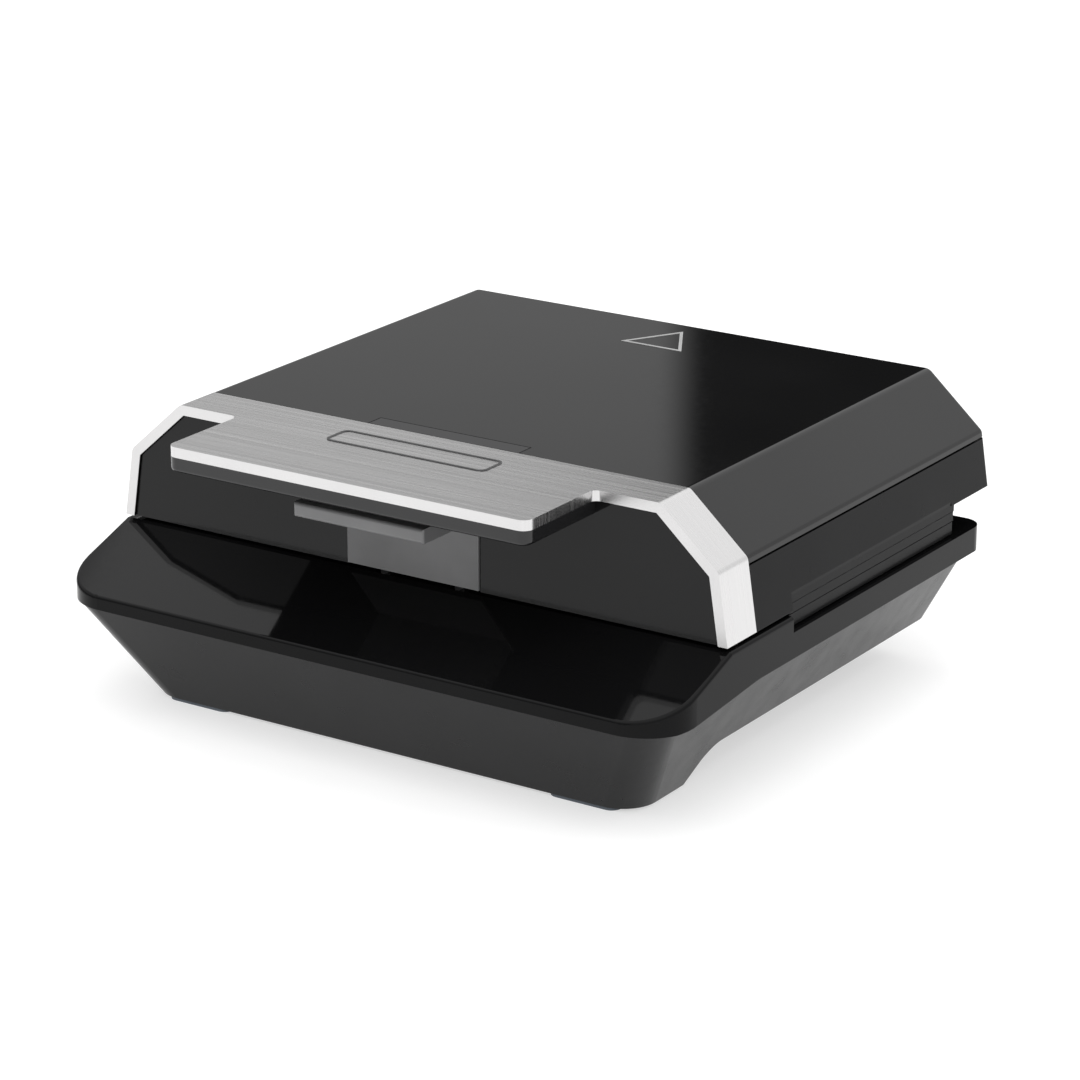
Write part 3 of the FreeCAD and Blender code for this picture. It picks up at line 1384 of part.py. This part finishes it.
def make_front_panel():
    """Glossy panel set back inside the steel trim, with the lugs that carry the latch pin."""
    body = new_body("front_panel")
    front = dim.panel_front
    back = front + dim.panel_thick
    extrude(body, "XZ_Plane", arch_region(dim.panel_inset, dim.lid_low), front, back)
    notch = [(-dim.notch_half, dim.lid_low - dim.bite), (dim.notch_half, dim.lid_low - dim.bite),
             (dim.notch_half, dim.notch_top), (-dim.notch_half, dim.notch_top)]
    extrude(body, "XZ_Plane", notch, front - dim.bite, back + dim.bite, cut=True)
    for sign in (-1, 1):
        near = dim.notch_half + dim.lug_out
        left, right = on_side(sign, near, near + dim.lug_thick)
        root = back - dim.overlap
        tip = dim.pivot_back + dim.lug_back
        lug = [(root, dim.pivot_up - dim.lug_root_up), (tip, dim.pivot_up - dim.lug_up),
               (tip, dim.pivot_up + dim.lug_up), (root, dim.pivot_up + dim.lug_root_up)]
        extrude(body, "YZ_Plane", lug, left, right)
    bore = cylinder("latch_lug_bore", "x", (-dim.handle_half, dim.pivot_back, dim.pivot_up),
                    dim.pivot_radius + dim.pivot_play, dim.handle_half * 2)
    finish("front_panel", cut("front_panel_body", body, bore))


def make_latch():
    """Latch lever: face plate, finger lip, two pivot arms and two hooks, and the pin it turns on."""
    body = new_body("latch_lever")
    face = dim.latch_front
    back = face + dim.latch_plate
    plate = [(-dim.latch_half, dim.latch_low), (dim.latch_half, dim.latch_low),
             (dim.latch_half, dim.latch_high), (-dim.latch_half, dim.latch_high)]
    extrude(body, "XZ_Plane", plate, face, back)
    lip = [(-dim.lip_half, dim.lip_low), (dim.lip_half, dim.lip_low), (dim.lip_half, dim.lip_high),
           (-dim.lip_half, dim.lip_high)]
    extrude(body, "XZ_Plane", lip, -dim.lip_reach, face + dim.overlap)

    def lip_front(edge):
        points = [vertex.Point for vertex in edge.Vertexes]
        return len(points) == 2 and all(abs(point.y + dim.lip_reach.number) < NEAR for point in points)

    soften(body, lip_front, dim.lip_round)
    pivot_y, pivot_z = dim.pivot_back, dim.pivot_up
    hook_front = dim.hook_front
    hook_back = hook_front + dim.hook_thick
    nose_back = hook_back + dim.nose_reach
    heel_back = pivot_y + dim.arm_heel_back
    side_profile = [
        (back - dim.plate_key, dim.hook_top), (hook_front, dim.hook_top), (hook_front, dim.nose_low),
        (hook_back, dim.nose_low), (nose_back, dim.nose_low + dim.nose_ramp), (nose_back, dim.nose_high),
        (hook_back, dim.nose_high), (hook_back, pivot_z - dim.arm_crook_down),
        (heel_back, pivot_z - dim.arm_heel_down), (heel_back, pivot_z + dim.arm_heel_up),
        (back - dim.plate_key, pivot_z + dim.arm_crown),
    ]
    for sign in (-1, 1):
        left, right = on_side(sign, dim.arm_near, dim.arm_far)
        extrude(body, "YZ_Plane", side_profile, left, right)
    bore = cylinder("latch_bore", "x", (-dim.handle_half, pivot_y, pivot_z),
                    dim.pivot_radius + dim.pivot_play, dim.handle_half * 2)
    finish("latch_lever", cut("latch_lever_body", body, bore))

    half = dim.notch_half + dim.lug_out + dim.lug_thick + dim.pin_ends
    finish("latch_pin", cylinder("latch_pin_bar", "x", (-half, pivot_y, pivot_z), dim.pivot_radius,
                                 half * 2))

    length = dim.spring_turns * dim.spring_pitch
    helix = doc.addObject("Part::Helix", "latch_spring_line")
    bind(helix, "Pitch", dim.spring_pitch)
    bind(helix, "Height", length)
    bind(helix, "Radius", dim.spring_coil)
    helix.Placement = FreeCAD.Placement(FreeCAD.Vector(), TURN_TO["x"])
    bind(helix, "Placement.Base.x", -length * HALF)
    bind(helix, "Placement.Base.y", pivot_y)
    bind(helix, "Placement.Base.z", pivot_z)
    doc.recompute()
    section = doc.addObject("Part::Circle", "latch_spring_section")
    bind(section, "Radius", dim.spring_wire)
    start = helix.Shape.Vertexes[0].Point
    heading = helix.Shape.Edges[0].tangentAt(helix.Shape.Edges[0].FirstParameter)
    section.Placement = FreeCAD.Placement(start, FreeCAD.Rotation(FreeCAD.Vector(0, 0, 1), heading))
    sweep = doc.addObject("Part::Sweep", "latch_spring")
    sweep.Sections = [section]
    sweep.Spine = (helix, [f"Edge{number + 1}" for number in range(len(helix.Shape.Edges))])
    sweep.Solid = True
    sweep.Frenet = True
    doc.recompute()
    finish("latch_spring", sweep)


def make_lid_trim():
    """Small pieces on the lid's top: lamp window, two lamps, blank badge outline and triangle mark."""
    start = dim.trim_depth + dim.part_gap
    top = dim.lid_top
    above = top + dim.bite
    window = new_body("indicator_window")
    outline = rectangle(-dim.window_half, dim.window_half, start + dim.hairline, dim.window_back)
    extrude(window, "XY_Plane", outline, top - dim.window_depth, top)
    finish("indicator_window", window)
    for name, across in (("power_lamp", -dim.lamp_side), ("ready_lamp", dim.lamp_side)):
        finish(name, cylinder(name + "_bulb", "z", (across, dim.lamp_back, top - dim.lamp_drop),
                              dim.lamp_radius, dim.lamp_height))
    board = new_body("lamp_board")
    board_low = top - dim.board_drop
    board_outline = rectangle(-dim.board_half, dim.board_half, dim.board_front, dim.board_back)
    extrude(board, "XY_Plane", board_outline, board_low, board_low + dim.board_thick)
    finish("lamp_board", board)

    badge = new_body("badge_outline")
    line = dim.badge_line
    outer = rectangle(-dim.badge_half, dim.badge_half, dim.badge_front, dim.badge_back)
    extrude(badge, "XY_Plane", outer, top, top + dim.badge_high)
    soften(badge, along("XY_Plane", outer), dim.badge_round)
    inner = rectangle(line - dim.badge_half, dim.badge_half - line, dim.badge_front + line,
                      dim.badge_back - line)
    extrude(badge, "XY_Plane", inner, top - dim.bite, above, cut=True)
    soften(badge, along("XY_Plane", inner), dim.badge_inner_round)
    finish("badge_outline", badge)

    def triangle(half, front, back):
        return [(-half, front), (half, front), (0.0, back)]

    mark = new_body("top_mark")
    extrude(mark, "XY_Plane", triangle(dim.mark_half, dim.mark_front, dim.mark_back), top,
            top + dim.mark_high)
    extrude(mark, "XY_Plane", triangle(dim.mark_inner_half, dim.mark_inner_front, dim.mark_inner_back),
            top - dim.bite, above, cut=True)
    finish("top_mark", mark)


make_base_shell()
make_feet()
make_base_deck()
make_latch_catch()
make_plate("lower_waffle_plate", dim.lower_rim_low, dim.lower_rim_top, 1)
make_plate("upper_waffle_plate", dim.upper_rim_low, dim.upper_rim_top, -1)
make_pan("lower_reflector", dim.lower_pan_low, dim.lower_pan_top, True)
make_pan("upper_reflector", dim.upper_pan_low, dim.upper_pan_top, False)
lower_level = dim.lower_rim_low - dim.block_depth - dim.element_radius - dim.hairline
upper_level = dim.upper_rim_top + dim.block_depth + dim.element_radius + dim.hairline
make_element("lower_heating_element", lower_level, 1)
make_element("upper_heating_element", upper_level, -1)
make_hinges()
make_cord_gland()
make_base_electrics()
make_steel_trim()
make_handle_grip()
make_lid_top_cover()
make_lid_side_frame()
make_front_panel()
make_latch()
make_lid_trim()

doc.recompute()
for item in doc.Objects:
    if {"Invalid", "Error"} & set(item.State):
        raise RuntimeError(f"{item.Name} ({item.Label}) failed: {item.State}")
for label, item in pieces.items():
    if item.Shape.isNull() or not item.Shape.isValid():
        raise RuntimeError(f"{label} has no valid shape")

os.makedirs("parts", exist_ok=True)
whole = FreeCAD.BoundBox()
for label, item in pieces.items():
    item.Shape.exportStep(f"parts/{label}.step")
    whole.add(item.Shape.BoundBox)
print(len(pieces), "pieces, box", whole)
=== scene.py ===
"""Waffle maker: looks, light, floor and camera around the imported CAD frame."""

import json
import math

import bpy
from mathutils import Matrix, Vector

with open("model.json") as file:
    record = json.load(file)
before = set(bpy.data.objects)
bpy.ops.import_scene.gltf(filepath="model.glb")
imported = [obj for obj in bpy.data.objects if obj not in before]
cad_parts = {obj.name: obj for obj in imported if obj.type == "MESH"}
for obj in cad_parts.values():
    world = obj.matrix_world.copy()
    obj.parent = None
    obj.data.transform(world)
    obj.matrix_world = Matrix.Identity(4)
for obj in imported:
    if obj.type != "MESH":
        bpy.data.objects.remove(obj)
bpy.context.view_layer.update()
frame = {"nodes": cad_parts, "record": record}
nodes = frame["nodes"]

WHITE = (1.0, 1.0, 1.0, 1.0)
# where the two inputs of a colour mix node stand among its sockets
COLOUR_A, COLOUR_B, COLOUR_OUT = 6, 7, 2
# and those of a number mix node
NUMBER_A, NUMBER_B, NUMBER_OUT = 2, 3, 0
BEVEL_SAMPLES = 4
EDGE_WIDTH = 0.0006

# ---------------------------------------------------------------- materials


class Shader:
    """A node material being put together, in metres of the object's own space."""

    def __init__(self, name):
        self.material = bpy.data.materials.new(name)
        self.material.use_nodes = True
        self.tree = self.material.node_tree
        self.surface = self.tree.nodes["Principled BSDF"]
        self.place = self.tree.nodes.new("ShaderNodeTexCoord").outputs["Object"]

    def link(self, source, target):
        self.tree.links.new(source, target)

    def stretched(self, stretch):
        """The object's coordinates multiplied by stretch, so that noise runs long one way."""
        mapping = self.tree.nodes.new("ShaderNodeMapping")
        mapping.inputs["Scale"].default_value = stretch
        self.link(self.place, mapping.inputs["Vector"])
        return mapping.outputs["Vector"]

    def noise(self, scale, detail=2.0, stretch=None, roughness=0.5):
        texture = self.tree.nodes.new("ShaderNodeTexNoise")
        texture.inputs["Scale"].default_value = scale
        texture.inputs["Detail"].default_value = detail
        texture.inputs["Roughness"].default_value = roughness
        where = self.place if stretch is None else self.stretched(stretch)
        self.link(where, texture.inputs["Vector"])
        return texture.outputs["Fac"]

    def spread(self, value, low, high, start=0.3, end=0.7):
        """value, from start to end, as a number from low to high."""
        ramp = self.tree.nodes.new("ShaderNodeMapRange")
        ramp.inputs["From Min"].default_value = start
        ramp.inputs["From Max"].default_value = end
        ramp.inputs["To Min"].default_value = low
        ramp.inputs["To Max"].default_value = high
        self.link(value, ramp.inputs["Value"])
        return ramp.outputs["Result"]

    def tones(self, value, dark, light, start=0.3, end=0.7):
        """value as a colour between dark and light."""
        ramp = self.tree.nodes.new("ShaderNodeValToRGB")
        ramp.color_ramp.elements[0].position = start
        ramp.color_ramp.elements[0].color = (*dark, 1.0)
        ramp.color_ramp.elements[1].position = end
        ramp.color_ramp.elements[1].color = (*light, 1.0)
        self.link(value, ramp.inputs["Fac"])
        return ramp.outputs["Color"]

    def edge(self, radius):
        """How far the surface turns within radius: 0 on a flat face, more on an edge."""
        bevel = self.tree.nodes.new("ShaderNodeBevel")
        bevel.samples = BEVEL_SAMPLES
        bevel.inputs["Radius"].default_value = radius
        normal = self.tree.nodes.new("ShaderNodeNewGeometry")
        turn = self.tree.nodes.new("ShaderNodeVectorMath")
        turn.operation = "DISTANCE"
        self.link(bevel.outputs["Normal"], turn.inputs[0])
        self.link(normal.outputs["Normal"], turn.inputs[1])
        return turn.outputs["Value"]

    def mixed(self, amount, first, second):
        """A colour socket between two colours by amount."""
        mix = self.tree.nodes.new("ShaderNodeMix")
        mix.data_type = "RGBA"
        self.link(amount, mix.inputs["Factor"])
        for socket, colour in ((mix.inputs[COLOUR_A], first), (mix.inputs[COLOUR_B], second)):
            if isinstance(colour, tuple):
                socket.default_value = (*colour, 1.0)
            else:
                self.link(colour, socket)
        return mix.outputs[COLOUR_OUT]

    def bump(self, height, strength, depth, under=None):
        node = self.tree.nodes.new("ShaderNodeBump")
        node.inputs["Strength"].default_value = strength
        node.inputs["Distance"].default_value = depth
        self.link(height, node.inputs["Height"])
        if under is not None:
            self.link(under, node.inputs["Normal"])
        return node.outputs["Normal"]

    def set(self, **values):
        """Constant numbers straight on the surface shader's own sockets."""
        for name, value in values.items():
            self.surface.inputs[name.replace("_", " ")].default_value = value

    def join(self, **sockets):
        for name, socket in sockets.items():
            self.link(socket, self.surface.inputs[name.replace("_", " ")])


def scaled(tone, factor):
    """A colour made darker or lighter, never past full white."""
    return tuple(min(1.0, factor * c) for c in tone)


def moulded_plastic(name, tone, worn, gloss, grain, grain_depth, level):
    """Injection-moulded plastic: a spark-eroded grain, a little cloudiness and paler edges."""
    made = Shader(name)
    cloud = made.noise(38.0, detail=3.0)
    edges = made.spread(made.edge(EDGE_WIDTH), 0.0, 1.0, start=0.04, end=0.6)
    body = made.tones(cloud, scaled(tone, 0.86), scaled(tone, 1.12))
    made.join(
        Base_Color=made.mixed(edges, body, worn),
        Roughness=made.spread(made.noise(95.0, detail=4.0), *gloss),
        Normal=made.bump(made.noise(grain, detail=2.0), 0.35, grain_depth),
    )
    made.set(**{"Specular IOR Level": level})
    return made.material


def polished_plastic(name, tone, gloss, level):
    """High-gloss black plastic: faint flow waves and a dusting of roughness."""
    made = Shader(name)
    waves = made.noise(16.0, detail=1.0)
    dust = made.noise(420.0, detail=5.0, roughness=0.7)
    made.join(
        Base_Color=made.tones(waves, scaled(tone, 0.9), scaled(tone, 1.1)),
        Roughness=made.spread(dust, *gloss),
        Normal=made.bump(waves, 0.05, 0.0002),
    )
    made.set(**{"Specular IOR Level": level})
    return made.material


def brushed_metal(name, tone, gloss, stretch, along, level):
    """Sheet brushed one way: streaks in colour, roughness and height, and stretched highlights.

    along points mostly across the streaks; it leans a little so that no face is square to it.
    """
    made = Shader(name)
    streaks = made.noise(1.0, detail=6.0, stretch=stretch, roughness=0.65)
    coarse = made.noise(0.35, detail=3.0, stretch=stretch)
    geometry = made.tree.nodes.new("ShaderNodeNewGeometry")
    cross = made.tree.nodes.new("ShaderNodeVectorMath")
    cross.operation = "CROSS_PRODUCT"
    made.link(geometry.outputs["Normal"], cross.inputs[0])
    cross.inputs[1].default_value = along
    tangent = made.tree.nodes.new("ShaderNodeVectorMath")
    tangent.operation = "NORMALIZE"
    made.link(cross.outputs["Vector"], tangent.inputs[0])
    made.join(
        Base_Color=made.tones(streaks, scaled(tone, 0.95), scaled(tone, 1.04)),
        Roughness=made.spread(coarse, *gloss),
        Normal=made.bump(streaks, 0.15, 0.00003),
        Tangent=tangent.outputs["Vector"],
    )
    made.set(Metallic=1.0, Anisotropic=level)
    return made.material


def plain_metal(name, tone, gloss, mottle, depth):
    """Rolled, plated or oxidised metal with a mottled finish."""
    made = Shader(name)
    spots = made.noise(mottle, detail=5.0, roughness=0.6)
    made.join(
        Base_Color=made.tones(spots, scaled(tone, 0.82), scaled(tone, 1.1)),
        Roughness=made.spread(spots, *gloss),
        Normal=made.bump(made.noise(mottle * 6.0, detail=3.0), 0.2, depth),
    )
    made.set(Metallic=1.0)
    return made.material


def coated_cast(name):
    """Cast aluminium under a non-stick coat: fine orange peel with a faint sparkle."""
    made = Shader(name)
    peel = made.noise(1300.0, detail=3.0)
    flecks = made.noise(5200.0, detail=1.0)
    made.join(
        Base_Color=made.tones(
            flecks, (0.012, 0.012, 0.013), (0.045, 0.045, 0.048), start=0.5, end=0.8
        ),
        Roughness=made.spread(made.noise(60.0, detail=4.0), 0.38, 0.52),
        Normal=made.bump(peel, 0.4, 0.00005),
    )
    made.set(**{"Specular IOR Level": 0.6})
    return made.material


def rubber(name, tone, bloom):
    """Moulded rubber, matt, with a pale bloom in patches."""
    made = Shader(name)
    patches = made.noise(120.0, detail=4.0)
    made.join(
        Base_Color=made.tones(patches, tone, bloom),
        Roughness=made.spread(made.noise(300.0, detail=2.0), 0.55, 0.75),
        Normal=made.bump(made.noise(2400.0), 0.4, 0.00004),
    )
    made.set(**{"Specular IOR Level": 0.35})
    return made.material


def lamp_lens(name, tone):
    """A tinted clear lens over an unlit lamp."""
    made = Shader(name)
    swirl = made.noise(600.0, detail=2.0)
    made.join(
        Base_Color=made.tones(swirl, scaled(tone, 0.7), tone),
        Roughness=made.spread(swirl, 0.08, 0.18),
        Normal=made.bump(swirl, 0.1, 0.00003),
    )
    made.set(**{"Transmission Weight": 0.3, "IOR": 1.49})
    return made.material


def woven_sleeve(name, tone, light):
    """Glass-fibre braid over a lead, drawn as one set of fine, wavy bands."""
    made = Shader(name)
    wave = made.tree.nodes.new("ShaderNodeTexWave")
    wave.inputs["Scale"].default_value = 900.0
    wave.inputs["Distortion"].default_value = 1.5
    made.link(made.place, wave.inputs["Vector"])
    made.join(
        Base_Color=made.tones(wave.outputs["Fac"], tone, light),
        Roughness=made.spread(made.noise(500.0), 0.55, 0.8),
        Normal=made.bump(wave.outputs["Fac"], 0.5, 0.0001),
    )
    return made.material


# texture fineness per metre, and how deep a grain stands, in metres
FINE, MEDIUM, COARSE = 2600.0, 1800.0, 900.0
SHALLOW, DEEP = 0.00002, 0.00003
SATIN, GRIP_GLOSS, SOFT_GLOSS = (0.2, 0.28), (0.12, 0.2), (0.3, 0.42)
POLISH = (0.03, 0.07)

MATERIALS = {
    "shell_satin": moulded_plastic(
        "shell_satin", (0.009, 0.009, 0.0094), (0.02, 0.02, 0.021), SATIN, FINE, SHALLOW, 0.14
    ),
    "deck_gloss": polished_plastic("deck_gloss", (0.004, 0.004, 0.0042), (0.035, 0.07), 0.1),
    "lid_gloss": polished_plastic("lid_gloss", (0.008, 0.008, 0.0082), POLISH, 0.31),
    "lid_satin": moulded_plastic(
        "lid_satin", (0.006, 0.006, 0.0063), (0.014, 0.014, 0.0145), SATIN, FINE, SHALLOW, 0.07
    ),
    "panel_gloss": polished_plastic("panel_gloss", (0.005, 0.005, 0.0052), (0.05, 0.09), 0.24),
    "brushed_steel": brushed_metal(
        "brushed_steel",
        (0.66, 0.655, 0.655),
        (0.2, 0.3),
        stretch=(14.0, 2600.0, 14.0),
        along=(0.05, 1.0, 0.05),
        level=0.6,
    ),
    "grip_plastic": moulded_plastic(
        "grip_plastic", (0.010, 0.010, 0.0105), (0.02, 0.02, 0.021), GRIP_GLOSS, FINE, SHALLOW, 0.5
    ),
    "latch_grey": moulded_plastic(
        "latch_grey", (0.165, 0.165, 0.167), (0.2, 0.2, 0.202), SOFT_GLOSS, FINE, DEEP, 0.45
    ),
    "coated_plate": coated_cast("coated_plate"),
    "pan_metal": plain_metal("pan_metal", (0.62, 0.62, 0.63), (0.3, 0.5), 45.0, DEEP),
    "heater_steel": plain_metal("heater_steel", (0.16, 0.145, 0.14), (0.4, 0.6), 140.0, 0.00005),
    "bracket_steel": plain_metal("bracket_steel", (0.58, 0.58, 0.57), (0.28, 0.42), 90.0, DEEP),
    "pin_steel": plain_metal("pin_steel", (0.62, 0.62, 0.63), (0.15, 0.28), 160.0, SHALLOW),
    "screw_steel": plain_metal("screw_steel", (0.42, 0.42, 0.43), (0.22, 0.36), 260.0, DEEP),
    "gland_rubber": rubber("gland_rubber", (0.010, 0.010, 0.010), (0.022, 0.022, 0.022)),
    "foot_rubber": rubber("foot_rubber", (0.075, 0.088, 0.105), (0.11, 0.125, 0.145)),
    "terminal_plastic": moulded_plastic(
        "terminal_plastic", (0.6, 0.58, 0.52), (0.7, 0.68, 0.63), (0.3, 0.45), MEDIUM, DEEP, 0.5
    ),
    "lead_sleeve": woven_sleeve("lead_sleeve", (0.5, 0.48, 0.44), (0.75, 0.73, 0.68)),
    "window_dark": polished_plastic("window_dark", (0.008, 0.008, 0.009), (0.04, 0.08), 0.5),
    "lamp_red": lamp_lens("lamp_red", (0.35, 0.02, 0.015)),
    "lamp_green": lamp_lens("lamp_green", (0.02, 0.25, 0.05)),
    "board_green": moulded_plastic(
        "board_green", (0.01, 0.09, 0.03), (0.02, 0.14, 0.05), SOFT_GLOSS, COARSE, DEEP, 0.5
    ),
    "badge_dark": moulded_plastic(
        "badge_dark", (0.03, 0.03, 0.031), (0.05, 0.05, 0.052), SOFT_GLOSS, FINE, SHALLOW, 0.5
    ),
    "mark_grey": moulded_plastic(
        "mark_grey", (0.33, 0.33, 0.33), (0.4, 0.4, 0.4), (0.4, 0.5), FINE, SHALLOW, 0.5
    ),
}

node_slots = {part["node"]: part["material_slot"] for part in frame["record"]["subparts"]}
for name, item in nodes.items():
    item.data.materials.clear()
    item.data.materials.append(MATERIALS[node_slots[name]])

# ---------------------------------------------------------------- floor and light

FLOOR_HALF = 12.0
# light of the studio dome above, of the grey wall on the left and of the white wall on the right
DOME, GREY_WALL, WHITE_WALL = 1.15, 0.44, 0.95
# bearings, in degrees from straight behind, between which the grey wall ends and the white one starts
GREY_ENDS, WHITE_STARTS = (-31.6, -30.8), (-21.5, -20.5)
WALL_TOP = (25.0, 29.0)
SOFTBOX_UP, SOFTBOX_WIDTH, SOFTBOX_WATTS = 2.8, 5.0, 60.0
CAMERA_BEARING, CAMERA_RISE = 33.376, 18.965
CAMERA_DISTANCE = 1.323
CAMERA_TARGET = (0.0539, -0.07575, 0.0843)
SENSOR_WIDTH, LENS = 36.0, 128.77


def make_floor():
    """A wide pale floor that meets the object's feet."""
    half = FLOOR_HALF
    mesh = bpy.data.meshes.new("floor")
    corners = [(-half, -half, 0.0), (half, -half, 0.0), (half, half, 0.0), (-half, half, 0.0)]
    mesh.from_pydata(corners, [], [(0, 1, 2, 3)])
    floor = bpy.data.objects.new("floor", mesh)
    bpy.context.scene.collection.objects.link(floor)
    made = Shader("floor_paper")
    made.join(
        Base_Color=made.tones(made.noise(30.0), (0.5, 0.5, 0.5), (0.52, 0.52, 0.52)),
        Roughness=made.spread(made.noise(80.0), 0.7, 0.85),
    )
    made.set(**{"Specular IOR Level": 0.1, "Emission Color": WHITE, "Emission Strength": 0.55})
    mesh.materials.append(made.material)


def make_world():
    """A white studio dome over a grey wall on the left, a dark gap and a white wall on the right."""
    world = bpy.data.worlds.new("studio")
    bpy.context.scene.world = world
    world.use_nodes = True
    tree = world.node_tree
    where = tree.nodes.new("ShaderNodeTexCoord").outputs["Generated"]
    split = tree.nodes.new("ShaderNodeSeparateXYZ")
    tree.links.new(where, split.inputs["Vector"])

    def maths(operation, first, second):
        node = tree.nodes.new("ShaderNodeMath")
        node.operation = operation
        for socket, value in ((node.inputs[0], first), (node.inputs[1], second)):
            if isinstance(value, float):
                socket.default_value = value
            else:
                tree.links.new(value, socket)
        return node.outputs["Value"]

    def smooth(value, low, high, first, last):
        node = tree.nodes.new("ShaderNodeMapRange")
        node.interpolation_type = "SMOOTHSTEP"
        node.inputs["From Min"].default_value = low
        node.inputs["From Max"].default_value = high
        node.inputs["To Min"].default_value = first
        node.inputs["To Max"].default_value = last
        tree.links.new(value, node.inputs["Value"])
        return node.outputs["Result"]

    bearing = maths("ARCTAN2", split.outputs["X"], split.outputs["Y"])
    grey_wall = smooth(bearing, *map(math.radians, GREY_ENDS), GREY_WALL, 0.0)
    white_wall = smooth(bearing, *map(math.radians, WHITE_STARTS), 0.0, WHITE_WALL)
    low_light = maths("ADD", grey_wall, white_wall)
    wall_low, wall_high = (math.sin(math.radians(rise)) for rise in WALL_TOP)
    blend = smooth(split.outputs["Z"], wall_low, wall_high, 0.0, 1.0)
    mix = tree.nodes.new("ShaderNodeMix")
    mix.data_type = "FLOAT"
    tree.links.new(blend, mix.inputs["Factor"])
    tree.links.new(low_light, mix.inputs[NUMBER_A])
    mix.inputs[NUMBER_B].default_value = DOME
    tree.links.new(mix.outputs[NUMBER_OUT], tree.nodes["Background"].inputs["Strength"])
    tree.nodes["Background"].inputs["Color"].default_value = WHITE


def add_softbox():
    """One wide soft light straight above, facing down."""
    light = bpy.data.lights.new("overhead", "AREA")
    light.shape = "SQUARE"
    light.size = SOFTBOX_WIDTH
    light.energy = SOFTBOX_WATTS
    lamp = bpy.data.objects.new("overhead", light)
    bpy.context.scene.collection.objects.link(lamp)
    lamp.location = (0.0, 0.0, SOFTBOX_UP)
    lamp.rotation_euler = Vector((0.0, 0.0, -SOFTBOX_UP)).to_track_quat("-Z", "Y").to_euler()


def make_camera():
    """Seen from the right of the front and a little above."""
    azimuth, elevation = math.radians(CAMERA_BEARING), math.radians(CAMERA_RISE)
    away = Vector(
        (
            math.sin(azimuth) * math.cos(elevation),
            -math.cos(azimuth) * math.cos(elevation),
            math.sin(elevation),
        )
    )
    lens = bpy.data.cameras.new("camera")
    lens.sensor_width = SENSOR_WIDTH
    lens.lens = LENS
    camera = bpy.data.objects.new("camera", lens)
    bpy.context.scene.collection.objects.link(camera)
    camera.location = Vector(CAMERA_TARGET) + CAMERA_DISTANCE * away
    camera.rotation_euler = (-away).to_track_quat("-Z", "Y").to_euler()
    bpy.context.scene.camera = camera


make_floor()
make_world()
add_softbox()
make_camera()
bpy.context.scene.view_settings.view_transform = "Standard"
